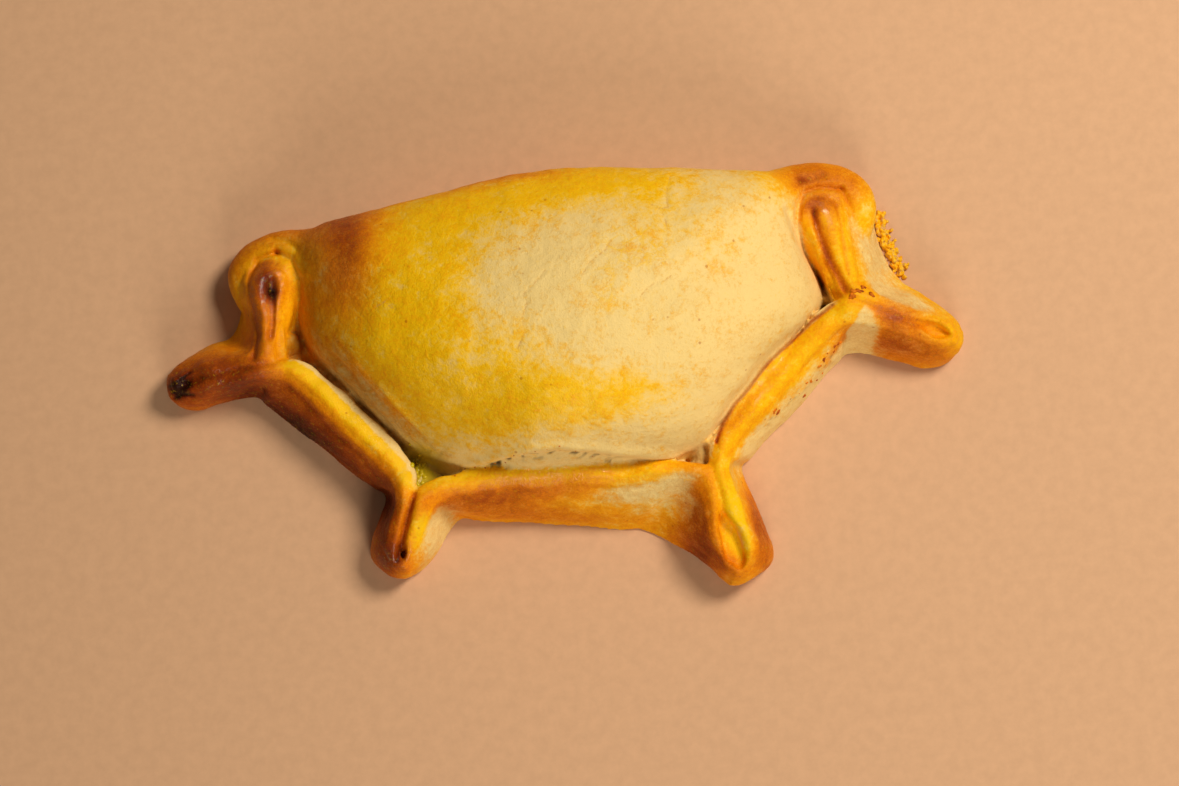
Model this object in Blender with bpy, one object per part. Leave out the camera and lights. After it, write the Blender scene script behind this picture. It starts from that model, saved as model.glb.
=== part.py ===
"""A baked half-moon empanada with its rim folded up into five walls that meet in pinched ears.

Metres, +Z up. The straight fold of the half moon runs along X on the +Y side, the rim is on the -Y side,
and the origin lies on the resting plane under the middle of the outline.
"""

import math
from dataclasses import dataclass

import bpy
import numpy as np
from mathutils import Matrix

MM = 0.001

# Driving sizes, in millimetres
BODY_HEIGHT = 34.0
BODY_CENTRE = (0.0, 8.0)
BODY_CORNERS = ((50.5, 36.6), (-49.5, 37.2), (-51.0, 24.0), (-54.5, 12.5),
                (-31.0, -17.0), (25.5, -18.5), (54.5, 8.0), (50.5, 24.0))
BODY_CROWN = (50.0, 28.0)
BODY_ROUNDING = 48
BODY_ROUNDNESS = (0.92, 0.9)
FOLD_LINE = (27.0, 3.0)
BASE_CORNERS = ((59.0, 24.0), (57.5, 31.5), (-57.5, 31.5), (-59.5, 26.0))
FOLD_BULGE = 5.4
FOLD_GIRTH_HEIGHT = 10.0
FOLD_UNDERCUT = 7.0
CREASE_GIRTH_HEIGHT = 4.0
CREASE_FLOOR = 7.0
WALL_HEIGHT = 13.5
ROOT_HEIGHT = 14.5
BAND_WIDTH = 4.6
BAND_CROWN = 0.7
BAND_DROP = 0.9
WALL_BELLY = 0.8
CUT_EDGE = 1.3
CUT_LEAN = 1.3
CUT_LEAN_START = 0.4
CLOSED_EDGE = 0.3
EAR_EDGE = 0.2
CROWN_SHARE = 0.45
TIP_LIFT = 1.3
EAR_WALL = 3.0
SLOT_HALF_WIDTH = 2.2
SLOT_SHARE = 0.85
BEAD_GIRTH_SHARE = 0.55
STRAP_INNER_SHARES = (0.05, 0.4, 0.75, 1.0)
STRAP_OUTER_SHARES = (0.88, 0.68, 0.4)
STRAP_HEAD_TURNS = (45.0, 90.0, 135.0)
STRAP_HEAD_WIDTH = 4.5
STRAP_HEAD_LIFT = 0.3
STRAP_ROOT_SHARE = 0.45
EAR_SHARES = (0.60, 0.80, 0.95)
CREST_SHARES = (0.35, 0.62, 0.88)
CUT_DEPTH = 1.5

# How finely the shapes are divided
SPAN_STEPS = 3
SECTION_STEPS = 2
BODY_SECTORS = 72
BODY_RINGS = 12
BODY_UNDER_RINGS = 3
TUBE_SIDES = 12

CRUST_COLOUR = (0.80, 0.52, 0.14, 1.0)
CRUST_ROUGHNESS = 0.5


@dataclass
class Ear:
    """A pinched corner of the rim: before and after are the hollows at its foot, on either side.

    Each side has its width from the ear's axis at three places from root to tip. The gaps are half the
    opening between the two layers at such places, negative where they are pressed together, and
    slot_floor is the height of the dough under the opening, at the root and near the tip.
    """

    root: tuple
    tip: tuple
    before: tuple
    after: tuple
    before_widths: tuple
    after_widths: tuple
    tip_height: float
    gaps: tuple
    slot_floor: tuple


@dataclass
class Strap:
    """The rim at one end of the fold: a hairpin of dough that runs from an ear's root up to a head.

    The groove lies between its legs. The fold's corner beside it is a bead of dough, given by the
    plan position, top and half width of each of its places.
    """

    head: tuple
    side: int
    inner_width: float
    outer_width: float
    groove: float
    groove_floor: float
    wall_feet: tuple
    corner: tuple


EARS = (
    Ear((-56.3, 10.3), (-78.6, 9.0), (-62.8, 24.4), (-61.9, 5.1),
        (7.3, 5.2, 3.0), (4.6, 5.0, 3.6), 9.5, (-0.6, -0.5, 0.8), (8.0, 6.0)),
    Ear((-32.9, -19.3), (-37.4, -33.8), (-39.0, -17.6), (-24.0, -23.8),
        (7.0, 6.4, 3.4), (6.0, 4.3, 2.2), 9.5, (-0.3, 0.0, 1.0), (10.0, 4.5)),
    Ear((25.8, -20.6), (29.5, -43.4), (10.8, -30.7), (33.0, -20.0),
        (9.0, 5.0, 2.5), (8.2, 8.0, 4.6), 10.5, (0.1, 1.6, 1.9), (10.0, 8.0)),
    Ear((56.6, 8.7), (78.6, -1.1), (56.3, -0.8), (65.9, 19.2),
        (7.0, 6.6, 4.0), (7.6, 6.0, 3.8), 10.0, (-0.6, -0.5, 1.3), (14.2, 9.0)),
)
WALL_SHARES = (0.07, 0.25, 0.5, 0.75, 0.93)
WALL_BOWS = (
    (3.0, 4.2, 4.3, 4.5, 2.8),
    (2.8, 4.6, 4.4, 2.4, 1.6),
    (2.4, 3.4, 3.1, 2.6, 1.4),
)
STRAPS = (
    Strap((-54.9, 26.9), -1, 3.9, 3.2, 0.7, 9.5, ((-63.6, 28.0), (-63.3, 25.5), (-65.6, 18.6)),
          ((-36.0, 26.5, 18.0, 9.0), (-45.5, 29.6, 14.5, 7.2), (-54.0, 31.8, 11.5, 5.4),
           (-59.4, 29.0, 9.8, 4.9), (-58.8, 21.5, 7.5, 3.2))),
    Strap((51.4, 26.8), 1, 2.7, 6.6, 0.6, 11.5, ((64.8, 28.0), (65.2, 24.0), (69.1, 13.1)),
          ((35.0, 26.5, 19.0, 9.0), (45.0, 30.4, 14.5, 7.0), (54.5, 32.2, 12.0, 5.6),
           (60.1, 29.0, 10.5, 5.2), (59.6, 20.5, 8.0, 3.4))),
)
# Dough that fills the creases inside the roots of the ears: plan position, radius and top
CREASES = ((-53.0, 12.8, 3.4, 11.0), (-30.4, -17.0, 4.8, 10.5), (24.6, -19.0, 4.2, 13.0), (53.4, 9.8, 3.8, 13.0),
           (50.8, 16.5, 3.4, 11.5))
LACE = ((65.9, 23.6, 1.7), (66.4, 21.3, 2.0), (67.0, 18.8, 1.8), (67.8, 16.4, 2.0), (69.0, 14.2, 1.6))
LACE_HEIGHT = 2.4
LUMP_RINGS = 4
LUMP_SIDES = 8


def clear_scene():
    for old in list(bpy.data.objects):
        bpy.data.objects.remove(old, do_unlink=True)


def unit(vector):
    return np.asarray(vector, float) / np.linalg.norm(vector)


def at(point, height):
    return np.array([point[0], point[1], height])


def smooth_curve(points, steps):
    """Points of a Catmull-Rom curve through the given ones, with steps to each span."""
    points = np.asarray(points, float)
    padded = np.vstack([2 * points[0] - points[1], points, 2 * points[-1] - points[-2]])
    curve = []
    for p0, p1, p2, p3 in zip(padded, padded[1:], padded[2:], padded[3:]):
        knots = np.cumsum([0.0] + [max(np.linalg.norm(b - a), 1e-6) ** 0.5
                                   for a, b in ((p0, p1), (p1, p2), (p2, p3))])
        for t in np.linspace(knots[1], knots[2], steps, endpoint=False):
            a1 = p0 + (p1 - p0) * (t - knots[0]) / (knots[1] - knots[0])
            a2 = p1 + (p2 - p1) * (t - knots[1]) / (knots[2] - knots[1])
            a3 = p2 + (p3 - p2) * (t - knots[2]) / (knots[3] - knots[2])
            b1 = a1 + (a2 - a1) * (t - knots[0]) / (knots[2] - knots[0])
            b2 = a2 + (a3 - a2) * (t - knots[1]) / (knots[3] - knots[1])
            curve.append(b1 + (b2 - b1) * (t - knots[1]) / (knots[2] - knots[1]))
    curve.append(points[-1])
    return np.array(curve)


def solid_from_rings(name, rings):
    """A closed mesh object from a row of point rings in millimetres, capped at both ends."""
    rings = np.asarray(rings, float)
    count, around = rings.shape[:2]
    faces = []
    for i in range(count - 1):
        for j in range(around):
            k = (j + 1) % around
            faces.append((i * around + j, i * around + k, (i + 1) * around + k, (i + 1) * around + j))
    points = list(rings.reshape(-1, 3))
    for ring in (0, count - 1):
        points.append(rings[ring].mean(axis=0))
        for j in range(around):
            edge = (ring * around + j, ring * around + (j + 1) % around)
            faces.append((len(points) - 1, *(edge[::-1] if ring == 0 else edge)))
    volume = sum(np.dot(points[f[0]], np.cross(points[f[i]], points[f[i + 1]]))
                 for f in faces for i in range(1, len(f) - 1))
    mesh = bpy.data.meshes.new(name)
    mesh.from_pydata([tuple(p * MM) for p in points], [], faces)
    if volume < 0:
        mesh.flip_normals()
    obj = bpy.data.objects.new(name, mesh)
    bpy.context.scene.collection.objects.link(obj)
    return obj


def prism(name, corners, top):
    """An upright block on the given plan corners."""
    return solid_from_rings(name, [[at(c, z) for c in corners] for z in (-CUT_DEPTH, top)])


def ear_axes(ear):
    """The ear's direction from root to tip, its length, and the direction across it towards after."""
    along = np.subtract(ear.tip, ear.root)
    length = np.linalg.norm(along)
    along = along / length
    across = np.array([-along[1], along[0]])
    return along, length, across * np.sign(np.dot(across, np.subtract(ear.after, ear.root)))


def ear_stations(ear, side):
    """Stations of the rim along one layer of an ear, from beside its root to just round its tip."""
    along, length, across = ear_axes(ear)
    root, tip, across = np.array(ear.root), np.array(ear.tip), across * side
    widths = ear.after_widths if side > 0 else ear.before_widths
    reach = length - EAR_WALL
    drop = ROOT_HEIGHT - ear.tip_height
    stations = []
    for foot_share, crest_share, width, gap in zip(EAR_SHARES, CREST_SHARES, widths, ear.gaps):
        foot = root + along * length * foot_share + across * width
        crest = root + along * reach * crest_share + across * gap
        stations.append((at(foot, TIP_LIFT * (foot_share - 0.5)), at(crest, ROOT_HEIGHT - drop * crest_share),
                         EAR_EDGE, WALL_BELLY))
    end = root + along * reach
    for beyond, foot_back, crest_back in ((0.0, 0.0, 0.0), (-0.4, 2.2, 0.8)):
        stations.append((at(tip + along * beyond - across * foot_back, TIP_LIFT),
                         at(end - across * crest_back, ear.tip_height), EAR_EDGE, WALL_BELLY))
    return stations


def wall_stations(first, last, bows):
    """Stations of a straight wall between two ears, its crest bowed over the filling."""
    start, end = np.array(first.root), np.array(last.root)
    run = unit(end - start)
    inward = np.array([-run[1], run[0]])
    stations = [(at(first.after, 0.0), at(start, ROOT_HEIGHT), CLOSED_EDGE, -WALL_BELLY)]
    for share, bow in zip(WALL_SHARES, bows):
        foot = np.array(first.after) * (1 - share) + np.array(last.before) * share
        middle = 1 - abs(2 * share - 1) ** 4
        crest = start + (end - start) * share + inward * bow
        height = ROOT_HEIGHT + (WALL_HEIGHT - ROOT_HEIGHT) * middle
        edge = CLOSED_EDGE + (CUT_EDGE - CLOSED_EDGE) * middle
        stations.append((at(foot, 0.0), at(crest, height), edge, WALL_BELLY))
    stations.append((at(last.before, 0.0), at(end, ROOT_HEIGHT), CLOSED_EDGE, -WALL_BELLY))
    return stations


def strap_stations(strap, ear):
    """Stations of the hairpin: up its inner leg, round the head, and down its outer leg to the root."""
    root, head = np.array(ear.root), np.array(strap.head)
    up_leg = unit(head - root)
    inner = unit(np.array([-strap.side, 0.0]) - up_leg * np.dot((-strap.side, 0.0), up_leg))
    stations = []
    for share in STRAP_INNER_SHARES:
        middle = root + (head - root) * share
        gap = strap.groove * (2 * share - 1)
        crest = middle + inner * gap
        width = strap.inner_width * (STRAP_ROOT_SHARE + (1 - STRAP_ROOT_SHARE) * share)
        foot = middle + inner * (gap + width)
        stations.append((at(foot, CREASE_FLOOR), at(crest, WALL_HEIGHT), CLOSED_EDGE, WALL_BELLY))
    for turn in STRAP_HEAD_TURNS:
        angle = math.radians(turn)
        out = inner * math.cos(angle) + up_leg * math.sin(angle)
        width = strap.inner_width + (strap.outer_width - strap.inner_width) * 0.5 * (1 - math.cos(angle))
        foot = head + out * (strap.groove + min(width, STRAP_HEAD_WIDTH))
        crest = head + out * strap.groove
        crest = at(crest, WALL_HEIGHT + STRAP_HEAD_LIFT)
        stations.append((at(foot, CREASE_FLOOR), crest, CLOSED_EDGE, WALL_BELLY))
    hollow = ear.before if strap.side < 0 else ear.after
    feet = (*strap.wall_feet[:2], hollow)
    for share, foot in zip(STRAP_OUTER_SHARES, feet):
        crest = root + (head - root) * share - inner * strap.groove * (2 * share - 1)
        stations.append((at(foot, 0.0), at(crest, WALL_HEIGHT), CLOSED_EDGE, WALL_BELLY))
    stations.append((at(strap.wall_feet[2], 0.0), at(root, ROOT_HEIGHT), CLOSED_EDGE, -WALL_BELLY))
    return stations


def section(foot, crest, edge, belly):
    """Closed cross-section of the rim: up its wall, over its band to the crest, and down its cut edge."""
    inward = crest - foot
    inward[2] = 0.0
    reach = np.linalg.norm(inward)
    inward = inward / reach
    up = np.array([0.0, 0.0, 1.0])
    band = min(BAND_WIDTH, 0.5 * reach)
    shoulder = crest - inward * band - up * BAND_DROP
    wall = (foot + shoulder) / 2 - inward * belly + up * abs(belly)
    crown = crest - inward * band * CROWN_SHARE + up * BAND_CROWN
    loop = list(smooth_curve([foot, wall, shoulder, crown, crest], SECTION_STEPS))
    loop.append(crest + inward * edge - up * (CUT_LEAN_START + CUT_LEAN * edge))
    low = foot[2] < 0.15
    loop.append(at(crest + inward * edge * 0.4, -CUT_DEPTH if low else foot[2] - 0.5))
    loop.append(at(foot + inward * 0.5, -CUT_DEPTH) if low else foot + inward * 1.2 - up * 0.6)
    return loop


def rim(name, stations):
    """One length of folded rim through the given stations of foot, crest, edge and belly."""
    feet, crests, edges, bellies = (smooth_curve([np.atleast_1d(s[i]) for s in stations], SPAN_STEPS)
                                    for i in range(4))
    return solid_from_rings(name, [section(*row[:2], row[2][0], row[3][0])
                                   for row in zip(feet, crests, edges, bellies)])


def body_outline():
    """The plan outline of the filled body: its corners joined, bulged along the fold and rounded."""
    points = []
    for i, corner in enumerate(BODY_CORNERS):
        start, end = np.array(corner), np.array(BODY_CORNERS[(i + 1) % len(BODY_CORNERS)])
        for share in np.arange(0.0, 1.0, 1.0 / round(np.linalg.norm(end - start))):
            bulge = FOLD_BULGE * math.sin(math.pi * share) ** 2 if i == 0 else 0.0
            points.append(start + (end - start) * share + np.array([0.0, bulge]))
    points = np.array(points)
    for _ in range(BODY_ROUNDING):
        points = (np.roll(points, 1, axis=0) + 2 * points + np.roll(points, -1, axis=0)) / 4
    return points


def body():
    """The filled body: a pillow on its outline, round at the fold and creased along the rim."""
    outline = body_outline()
    centre = np.array(BODY_CENTRE)
    turns = np.arctan2(*(outline - centre).T[::-1]) % (2 * math.pi)
    order = np.argsort(turns)
    reaches = np.linalg.norm(outline - centre, axis=1)[order]
    rings = [[] for _ in range(BODY_UNDER_RINGS + BODY_RINGS)]
    for j in range(BODY_SECTORS):
        angle = 2 * math.pi * j / BODY_SECTORS
        out = np.array([math.cos(angle), math.sin(angle)])
        reach = np.interp(angle, turns[order], reaches, period=2 * math.pi)
        fold = 1 / (1 + math.exp(-(centre[1] + reach * out[1] - FOLD_LINE[0]) / FOLD_LINE[1]))
        girth = CREASE_GIRTH_HEIGHT + (FOLD_GIRTH_HEIGHT - CREASE_GIRTH_HEIGHT) * fold
        for k in range(BODY_UNDER_RINGS):
            turn = (BODY_UNDER_RINGS - k) / BODY_UNDER_RINGS * math.pi / 2
            radius = reach - (1.0 + FOLD_UNDERCUT * fold) * (1 - math.cos(turn))
            rings[k].append(at(centre + out * radius, girth - (girth + CUT_DEPTH) * math.sin(turn)))
        crown = 1 / math.hypot(out[0] / BODY_CROWN[0], out[1] / BODY_CROWN[1])
        for k in range(BODY_RINGS):
            share = k / BODY_RINGS
            turn = share * math.pi / 2
            height = girth + (BODY_HEIGHT - girth) * math.sin(turn) ** BODY_ROUNDNESS[0]
            radius = reach + (crown - reach) * share * share * (3 - 2 * share)
            radius = radius * math.cos(turn) ** BODY_ROUNDNESS[1]
            rings[BODY_UNDER_RINGS + k].append(at(centre + out * radius, height))
    return solid_from_rings("body", rings)


def bead(places):
    """A thick rounded bead of dough through the given places, standing on the resting plane."""
    places = smooth_curve(places, SPAN_STEPS)
    rings = []
    for i, (x, y, top, half_width) in enumerate(places):
        along = unit(places[min(i + 1, len(places) - 1)][:2] - places[max(i - 1, 0)][:2])
        across = np.array([along[1], -along[0]])
        girth = top * BEAD_GIRTH_SHARE
        ring = []
        for j in range(TUBE_SIDES):
            angle = 2 * math.pi * j / TUBE_SIDES
            rise = top - girth if math.sin(angle) > 0 else girth + CUT_DEPTH
            ring.append(at((x, y) + across * half_width * math.cos(angle), girth + rise * math.sin(angle)))
        rings.append(ring)
    return solid_from_rings("bead", rings)


def infill(start, end, tops):
    """A block between two layers of rim, up to the floor of their groove, which may slope."""
    along = unit(np.subtract(end, start))
    across = np.array([-along[1], along[0]]) * SLOT_HALF_WIDTH
    corners = [start - across, end - across, end + across, start + across]
    heights = (tops[0], tops[1], tops[1], tops[0])
    return solid_from_rings("infill", [[at(corner, -CUT_DEPTH) for corner in corners],
                                       [at(corner, height) for corner, height in zip(corners, heights)]])


def lump(x, y, radius, top):
    """A rounded dome of dough."""
    rings = [[at((x + radius * math.cos(2 * math.pi * j / LUMP_SIDES),
                  y + radius * math.sin(2 * math.pi * j / LUMP_SIDES)), -CUT_DEPTH) for j in range(LUMP_SIDES)]]
    for k in range(LUMP_RINGS):
        turn = k / LUMP_RINGS * math.pi / 2
        shrink = math.cos(turn)
        rings.append([at((x, y) + (corner[:2] - (x, y)) * shrink, top * math.sin(turn)) for corner in rings[0]])
    return solid_from_rings("lump", rings)


def join(pieces, name):
    """One Boolean union of all the pieces, cut flat along the resting plane."""
    group = bpy.data.collections.new("pieces")
    bpy.context.scene.collection.children.link(group)
    first, *others = pieces
    for piece in others:
        bpy.context.scene.collection.objects.unlink(piece)
        group.objects.link(piece)
    union = first.modifiers.new("union", "BOOLEAN")
    union.operation = "UNION"
    union.operand_type = "COLLECTION"
    union.collection = group
    union.solver = "MANIFOLD"
    floor_size = 0.3
    bpy.ops.mesh.primitive_cube_add(size=floor_size, location=(0.0, 0.0, -floor_size / 2))
    below = bpy.context.active_object
    trim = first.modifiers.new("trim", "BOOLEAN")
    trim.operation = "DIFFERENCE"
    trim.object = below
    trim.solver = "MANIFOLD"
    graph = bpy.context.evaluated_depsgraph_get()
    mesh = bpy.data.meshes.new_from_object(first.evaluated_get(graph))
    mesh.name = name
    for piece in (*others, below):
        bpy.data.objects.remove(piece, do_unlink=True)
    bpy.data.collections.remove(group)
    first.modifiers.clear()
    first.data = mesh
    first.name = name
    return first


def centre_in_plan(obj):
    """Moves the solid so that the middle of its outline is over the origin."""
    corners = [vertex.co for vertex in obj.data.vertices]
    middle = [(min(c[i] for c in corners) + max(c[i] for c in corners)) / 2 for i in range(2)]
    obj.data.transform(Matrix.Translation((-middle[0], -middle[1], 0.0)))


def crust_material():
    material = bpy.data.materials.new("baked_crust")
    material.use_nodes = True
    shader = material.node_tree.nodes["Principled BSDF"]
    shader.inputs["Base Color"].default_value = CRUST_COLOUR
    shader.inputs["Roughness"].default_value = CRUST_ROUGHNESS
    shader.inputs["Metallic"].default_value = 0.0
    return material


def main():
    clear_scene()
    pieces = [body()]
    pieces.append(prism("base", [ear.root for ear in EARS] + [*BASE_CORNERS], CREASE_FLOOR))
    left, right = STRAPS
    pieces.append(rim("rim", strap_stations(left, EARS[0]) + ear_stations(EARS[0], -1)))
    for first, last, bows in zip(EARS, EARS[1:], WALL_BOWS):
        stations = ear_stations(first, 1)[::-1] + wall_stations(first, last, bows)
        pieces.append(rim("rim", stations + ear_stations(last, -1)))
    pieces.append(rim("rim", strap_stations(right, EARS[3]) + ear_stations(EARS[3], 1)))
    for strap, ear in zip(STRAPS, (EARS[0], EARS[3])):
        pieces.append(bead(strap.corner))
        floor = (strap.groove_floor, strap.groove_floor)
        pieces.append(infill(np.array(ear.root), np.array(strap.head), floor))
    for ear in EARS:
        along, length, _ = ear_axes(ear)
        end = np.array(ear.root) + along * length * SLOT_SHARE
        pieces.append(infill(np.array(ear.root), end, ear.slot_floor))
    pieces += [lump(*crease) for crease in CREASES]
    pieces += [lump(x, y, radius, LACE_HEIGHT) for x, y, radius in LACE]
    crust = join(pieces, "crust")
    centre_in_plan(crust)
    crust.data.materials.clear()
    crust.data.materials.append(crust_material())


main()
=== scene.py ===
"""Dresses the baked half-moon empanada: crust, lace, crumbs, bubbles, and the table it is seen on."""
import math
from dataclasses import dataclass

import bpy
import numpy as np
from mathutils import Matrix, Vector, noise
from mathutils.kdtree import KDTree


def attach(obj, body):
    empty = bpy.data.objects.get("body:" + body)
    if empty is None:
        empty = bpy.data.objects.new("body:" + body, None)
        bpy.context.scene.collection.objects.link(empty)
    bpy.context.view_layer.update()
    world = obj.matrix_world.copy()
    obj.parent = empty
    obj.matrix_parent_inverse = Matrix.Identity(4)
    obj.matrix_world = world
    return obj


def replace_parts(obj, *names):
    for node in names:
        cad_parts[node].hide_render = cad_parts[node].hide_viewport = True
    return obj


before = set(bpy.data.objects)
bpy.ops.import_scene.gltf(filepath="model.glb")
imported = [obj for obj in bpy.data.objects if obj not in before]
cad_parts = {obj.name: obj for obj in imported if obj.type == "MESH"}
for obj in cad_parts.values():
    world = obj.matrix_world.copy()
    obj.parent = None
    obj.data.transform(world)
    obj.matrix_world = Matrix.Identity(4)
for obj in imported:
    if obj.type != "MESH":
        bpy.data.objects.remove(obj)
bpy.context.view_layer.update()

bl_info = {
    "name": "Baked empanada",
    "version": (1, 0, 0),
    "blender": (4, 5, 0),
    "location": "View3D > Sidebar > Empanada",
    "description": "Builds the looks of a baked half-moon empanada round its solid",
    "category": "Object",
}

MM = 0.001

# The filled body, in millimetres
BODY_HEIGHT = 34.0
BODY_CENTRE = (0.0, 8.0)
BODY_CORNERS = ((50.5, 36.6), (-49.5, 37.2), (-50.8, 24.0), (-52.4, 13.8),
                (-29.8, -16.2), (25.5, -18.4), (54.0, 8.4), (50.0, 24.0))
# Where the body's side slopes more gently: the direction and its spread in degrees, and by how much
BODY_SLOPES = ((210.0, 26.0, 0.85), (338.0, 26.0, 0.25))
# Half length and half width of the ellipse that the outline turns into towards the top
BODY_CROWN = (50.0, 28.0)
# How many times the outline's points are evened out with their neighbours
BODY_ROUNDING = 48
# Exponents of the side's rise and of its narrowing
BODY_ROUNDNESS = (0.92, 0.9)
# Where in y the crease along the rim turns into the round fold, and over what length
FOLD_LINE = (27.0, 3.0)
BASE_CORNERS = ((59.0, 24.0), (57.5, 31.5), (-57.5, 31.5), (-59.5, 26.0))
FOLD_BULGE = 5.4
FOLD_GIRTH_HEIGHT = 10.0
FOLD_UNDERCUT = 7.0
CREASE_GIRTH_HEIGHT = 4.0
CREASE_UNDERCUT = 1.0

# The folded rim: lengths in millimetres, turns in degrees, and shares of a length
CREASE_FLOOR = 7.0
WALL_HEIGHT = 13.5
ROOT_HEIGHT = 14.5
BAND_WIDTH = 4.6
BAND_LIMIT_SHARE = 0.5
BAND_CROWN = 0.7
BAND_DROP = 0.9
WALL_BELLY = 0.8
CUT_EDGES = (1.5, 0.7, 1.5)
CUT_LEAN = 0.6
CUT_LEAN_START = 0.4
CLOSED_EDGE = 0.3
EAR_EDGE = 0.2
CROWN_SHARE = 0.45
TIP_LIFT = 1.3
TIP_LIFT_START = 0.5
# Stations at an ear's tip: how far beyond it, and how far back across its axis foot and crest lie
TIP_STATIONS = ((0.0, 0.0, 0.0), (-0.4, 2.2, 0.8))
EAR_WALL = 3.0
SLOT_HALF_WIDTH = 2.2
SLOT_SHARE = 0.85
BEAD_GIRTH_SHARE = 0.55
STRAP_INNER_SHARES = (0.05, 0.4, 0.75, 1.0)
STRAP_OUTER_SHARES = (0.88, 0.68, 0.4)
STRAP_HEAD_TURNS = (45.0, 90.0, 135.0)
STRAP_HEAD_WIDTH = 4.5
STRAP_HEAD_LIFT = 0.3
STRAP_ROOT_SHARE = 0.45
EAR_SHARES = (0.60, 0.80, 0.95)
CREST_SHARES = (0.35, 0.62, 0.88)
# The higher this exponent, the nearer to an ear a wall has the height and cut edge of its middle
WALL_FULLNESS = 4
# The rim's hidden inside: a foot below LOW_FOOT stands on the ground, a higher one hangs in a crease
LOW_FOOT = 0.15
INSIDE_SHARE = 0.4
INSIDE_DROP = 0.5
LIP_SHARE = 0.6
FOOT_INSETS = (0.5, 1.2)
FOOT_DROP = 0.6
# Unevenness of the rim: how much, which is a share for the edge, and over what length
CREST_LIFT = (0.8, 6.0)
CREST_WANDER = (0.7, 6.0)
FOOT_WANDER = (0.7, 9.0)
EDGE_SWELL = (0.7, 5.0)
# Shifts in the noise that keep one unevenness from repeating another
LIFT_SHIFT = (0.0, 9.3, 0.0)
WANDER_SHIFT = (31.7, 0.0, 0.0)
SEED_SHIFT = (17.3, 5.1, 9.7)
NOISE_REACH = 1.6
# Where the frame's origin lies in the drawing's plan
PLAN_MIDDLE = (0.267, -0.722)

# How finely the dough is divided before it is remeshed
SPAN_STEPS = 12
SECTION_STEPS = 8
CUT_STEPS = 4
BODY_SECTORS = 240
BODY_RINGS = 60
BODY_UNDER_RINGS = 10
BEAD_SIDES = 32
LUMP_RINGS = 6
LUMP_SIDES = 14
PRISM_RINGS = 9

# Kinds of dough, and places round the rim's section from its foot to its inside
BODY, BEAD, RIM, INFILL, BASE, CREASE = range(6)
FOOT, SHOULDER, CROWN, CREST, EDGE, INSIDE = 0, 2, 3, 4, 5, 6


@dataclass
class Ear:
    """A pinched corner of the rim: before and after are the hollows at its foot, on either side.

    Each side has its width from the ear's axis at three places from root to tip. The gaps are half the
    opening between the two layers at such places, negative where they are pressed together, and
    slot_floor is the height of the dough under the opening, at the root and near the tip.
    """

    root: tuple
    tip: tuple
    before: tuple
    after: tuple
    before_widths: tuple
    after_widths: tuple
    tip_height: float
    gaps: tuple
    slot_floor: tuple


@dataclass
class Strap:
    """The rim at one end of the fold: a hairpin of dough that runs from an ear's root up to a head.

    The groove lies between its legs. The fold's corner beside it is a bead of dough, given by the
    plan position, top and half width of each of its places.
    """

    head: tuple
    side: int
    inner_width: float
    outer_width: float
    groove: float
    groove_floor: float
    wall_feet: tuple
    corner: tuple


EARS = (
    Ear((-56.3, 10.3), (-78.6, 9.0), (-62.8, 24.4), (-61.9, 5.1),
        (7.3, 5.2, 3.0), (4.6, 5.0, 3.6), 9.5, (-0.6, -0.5, 0.5), (8.0, 7.2)),
    Ear((-32.9, -19.3), (-37.4, -33.8), (-39.0, -17.6), (-24.0, -23.8),
        (7.0, 6.4, 3.4), (6.0, 4.3, 2.2), 9.5, (-0.3, 0.0, 0.6), (10.0, 7.2)),
    Ear((25.8, -20.6), (29.5, -43.4), (10.8, -30.7), (33.0, -20.0),
        (9.0, 5.0, 2.5), (8.2, 8.0, 4.6), 10.5, (0.1, 1.6, 1.9), (11.4, 9.4)),
    Ear((56.6, 8.7), (78.6, -1.1), (56.3, -0.8), (65.9, 19.2),
        (7.0, 6.6, 4.0), (7.6, 6.0, 3.8), 10.0, (-0.6, -0.5, 1.3), (14.2, 9.0)),
)
WALL_SHARES = (0.07, 0.25, 0.5, 0.75, 0.93)
WALL_BOWS = (
    (3.0, 4.2, 4.3, 4.5, 2.8),
    (2.8, 4.6, 4.4, 2.4, 1.6),
    (2.4, 3.4, 3.1, 2.6, 1.4),
)
STRAPS = (
    Strap((-54.9, 26.9), -1, 3.9, 3.2, 0.7, 12.6, ((-63.6, 28.0), (-63.3, 25.5), (-65.6, 18.6)),
          ((-36.0, 26.5, 18.0, 9.0), (-45.5, 29.6, 14.5, 7.2), (-54.0, 31.8, 11.5, 5.4),
           (-59.4, 29.0, 9.8, 4.9), (-58.8, 21.5, 7.5, 3.2))),
    Strap((51.4, 26.8), 1, 2.7, 6.6, 0.6, 12.4, ((64.8, 28.0), (65.2, 24.0), (69.1, 13.1)),
          ((35.0, 26.5, 19.0, 9.0), (45.0, 30.4, 14.5, 7.0), (54.5, 32.2, 12.0, 5.6),
           (60.1, 29.0, 10.5, 5.2), (59.6, 20.5, 8.0, 3.4))),
)
# Dough that fills the creases inside the rim: plan position, radius and top
CREASES = ((-53.3, 14.4, 3.2, 11.0), (-30.6, -15.2, 4.8, 11.8), (24.6, -17.6, 3.6, 11.4),
           (53.8, 11.0, 3.0, 10.6), (50.6, 17.5, 2.8, 9.5), (-44.8, 7.0, 2.8, 11.2),
           (-40.6, 1.0, 2.8, 11.0), (-37.0, -4.8, 3.0, 10.8), (-34.2, -10.2, 3.2, 10.8))


def unit(vector):
    """The vector's direction, with length 1."""
    return np.asarray(vector, float) / np.linalg.norm(vector)


def at(point, height):
    """A plan position lifted to a height."""
    return np.array([point[0], point[1], height])


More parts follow.
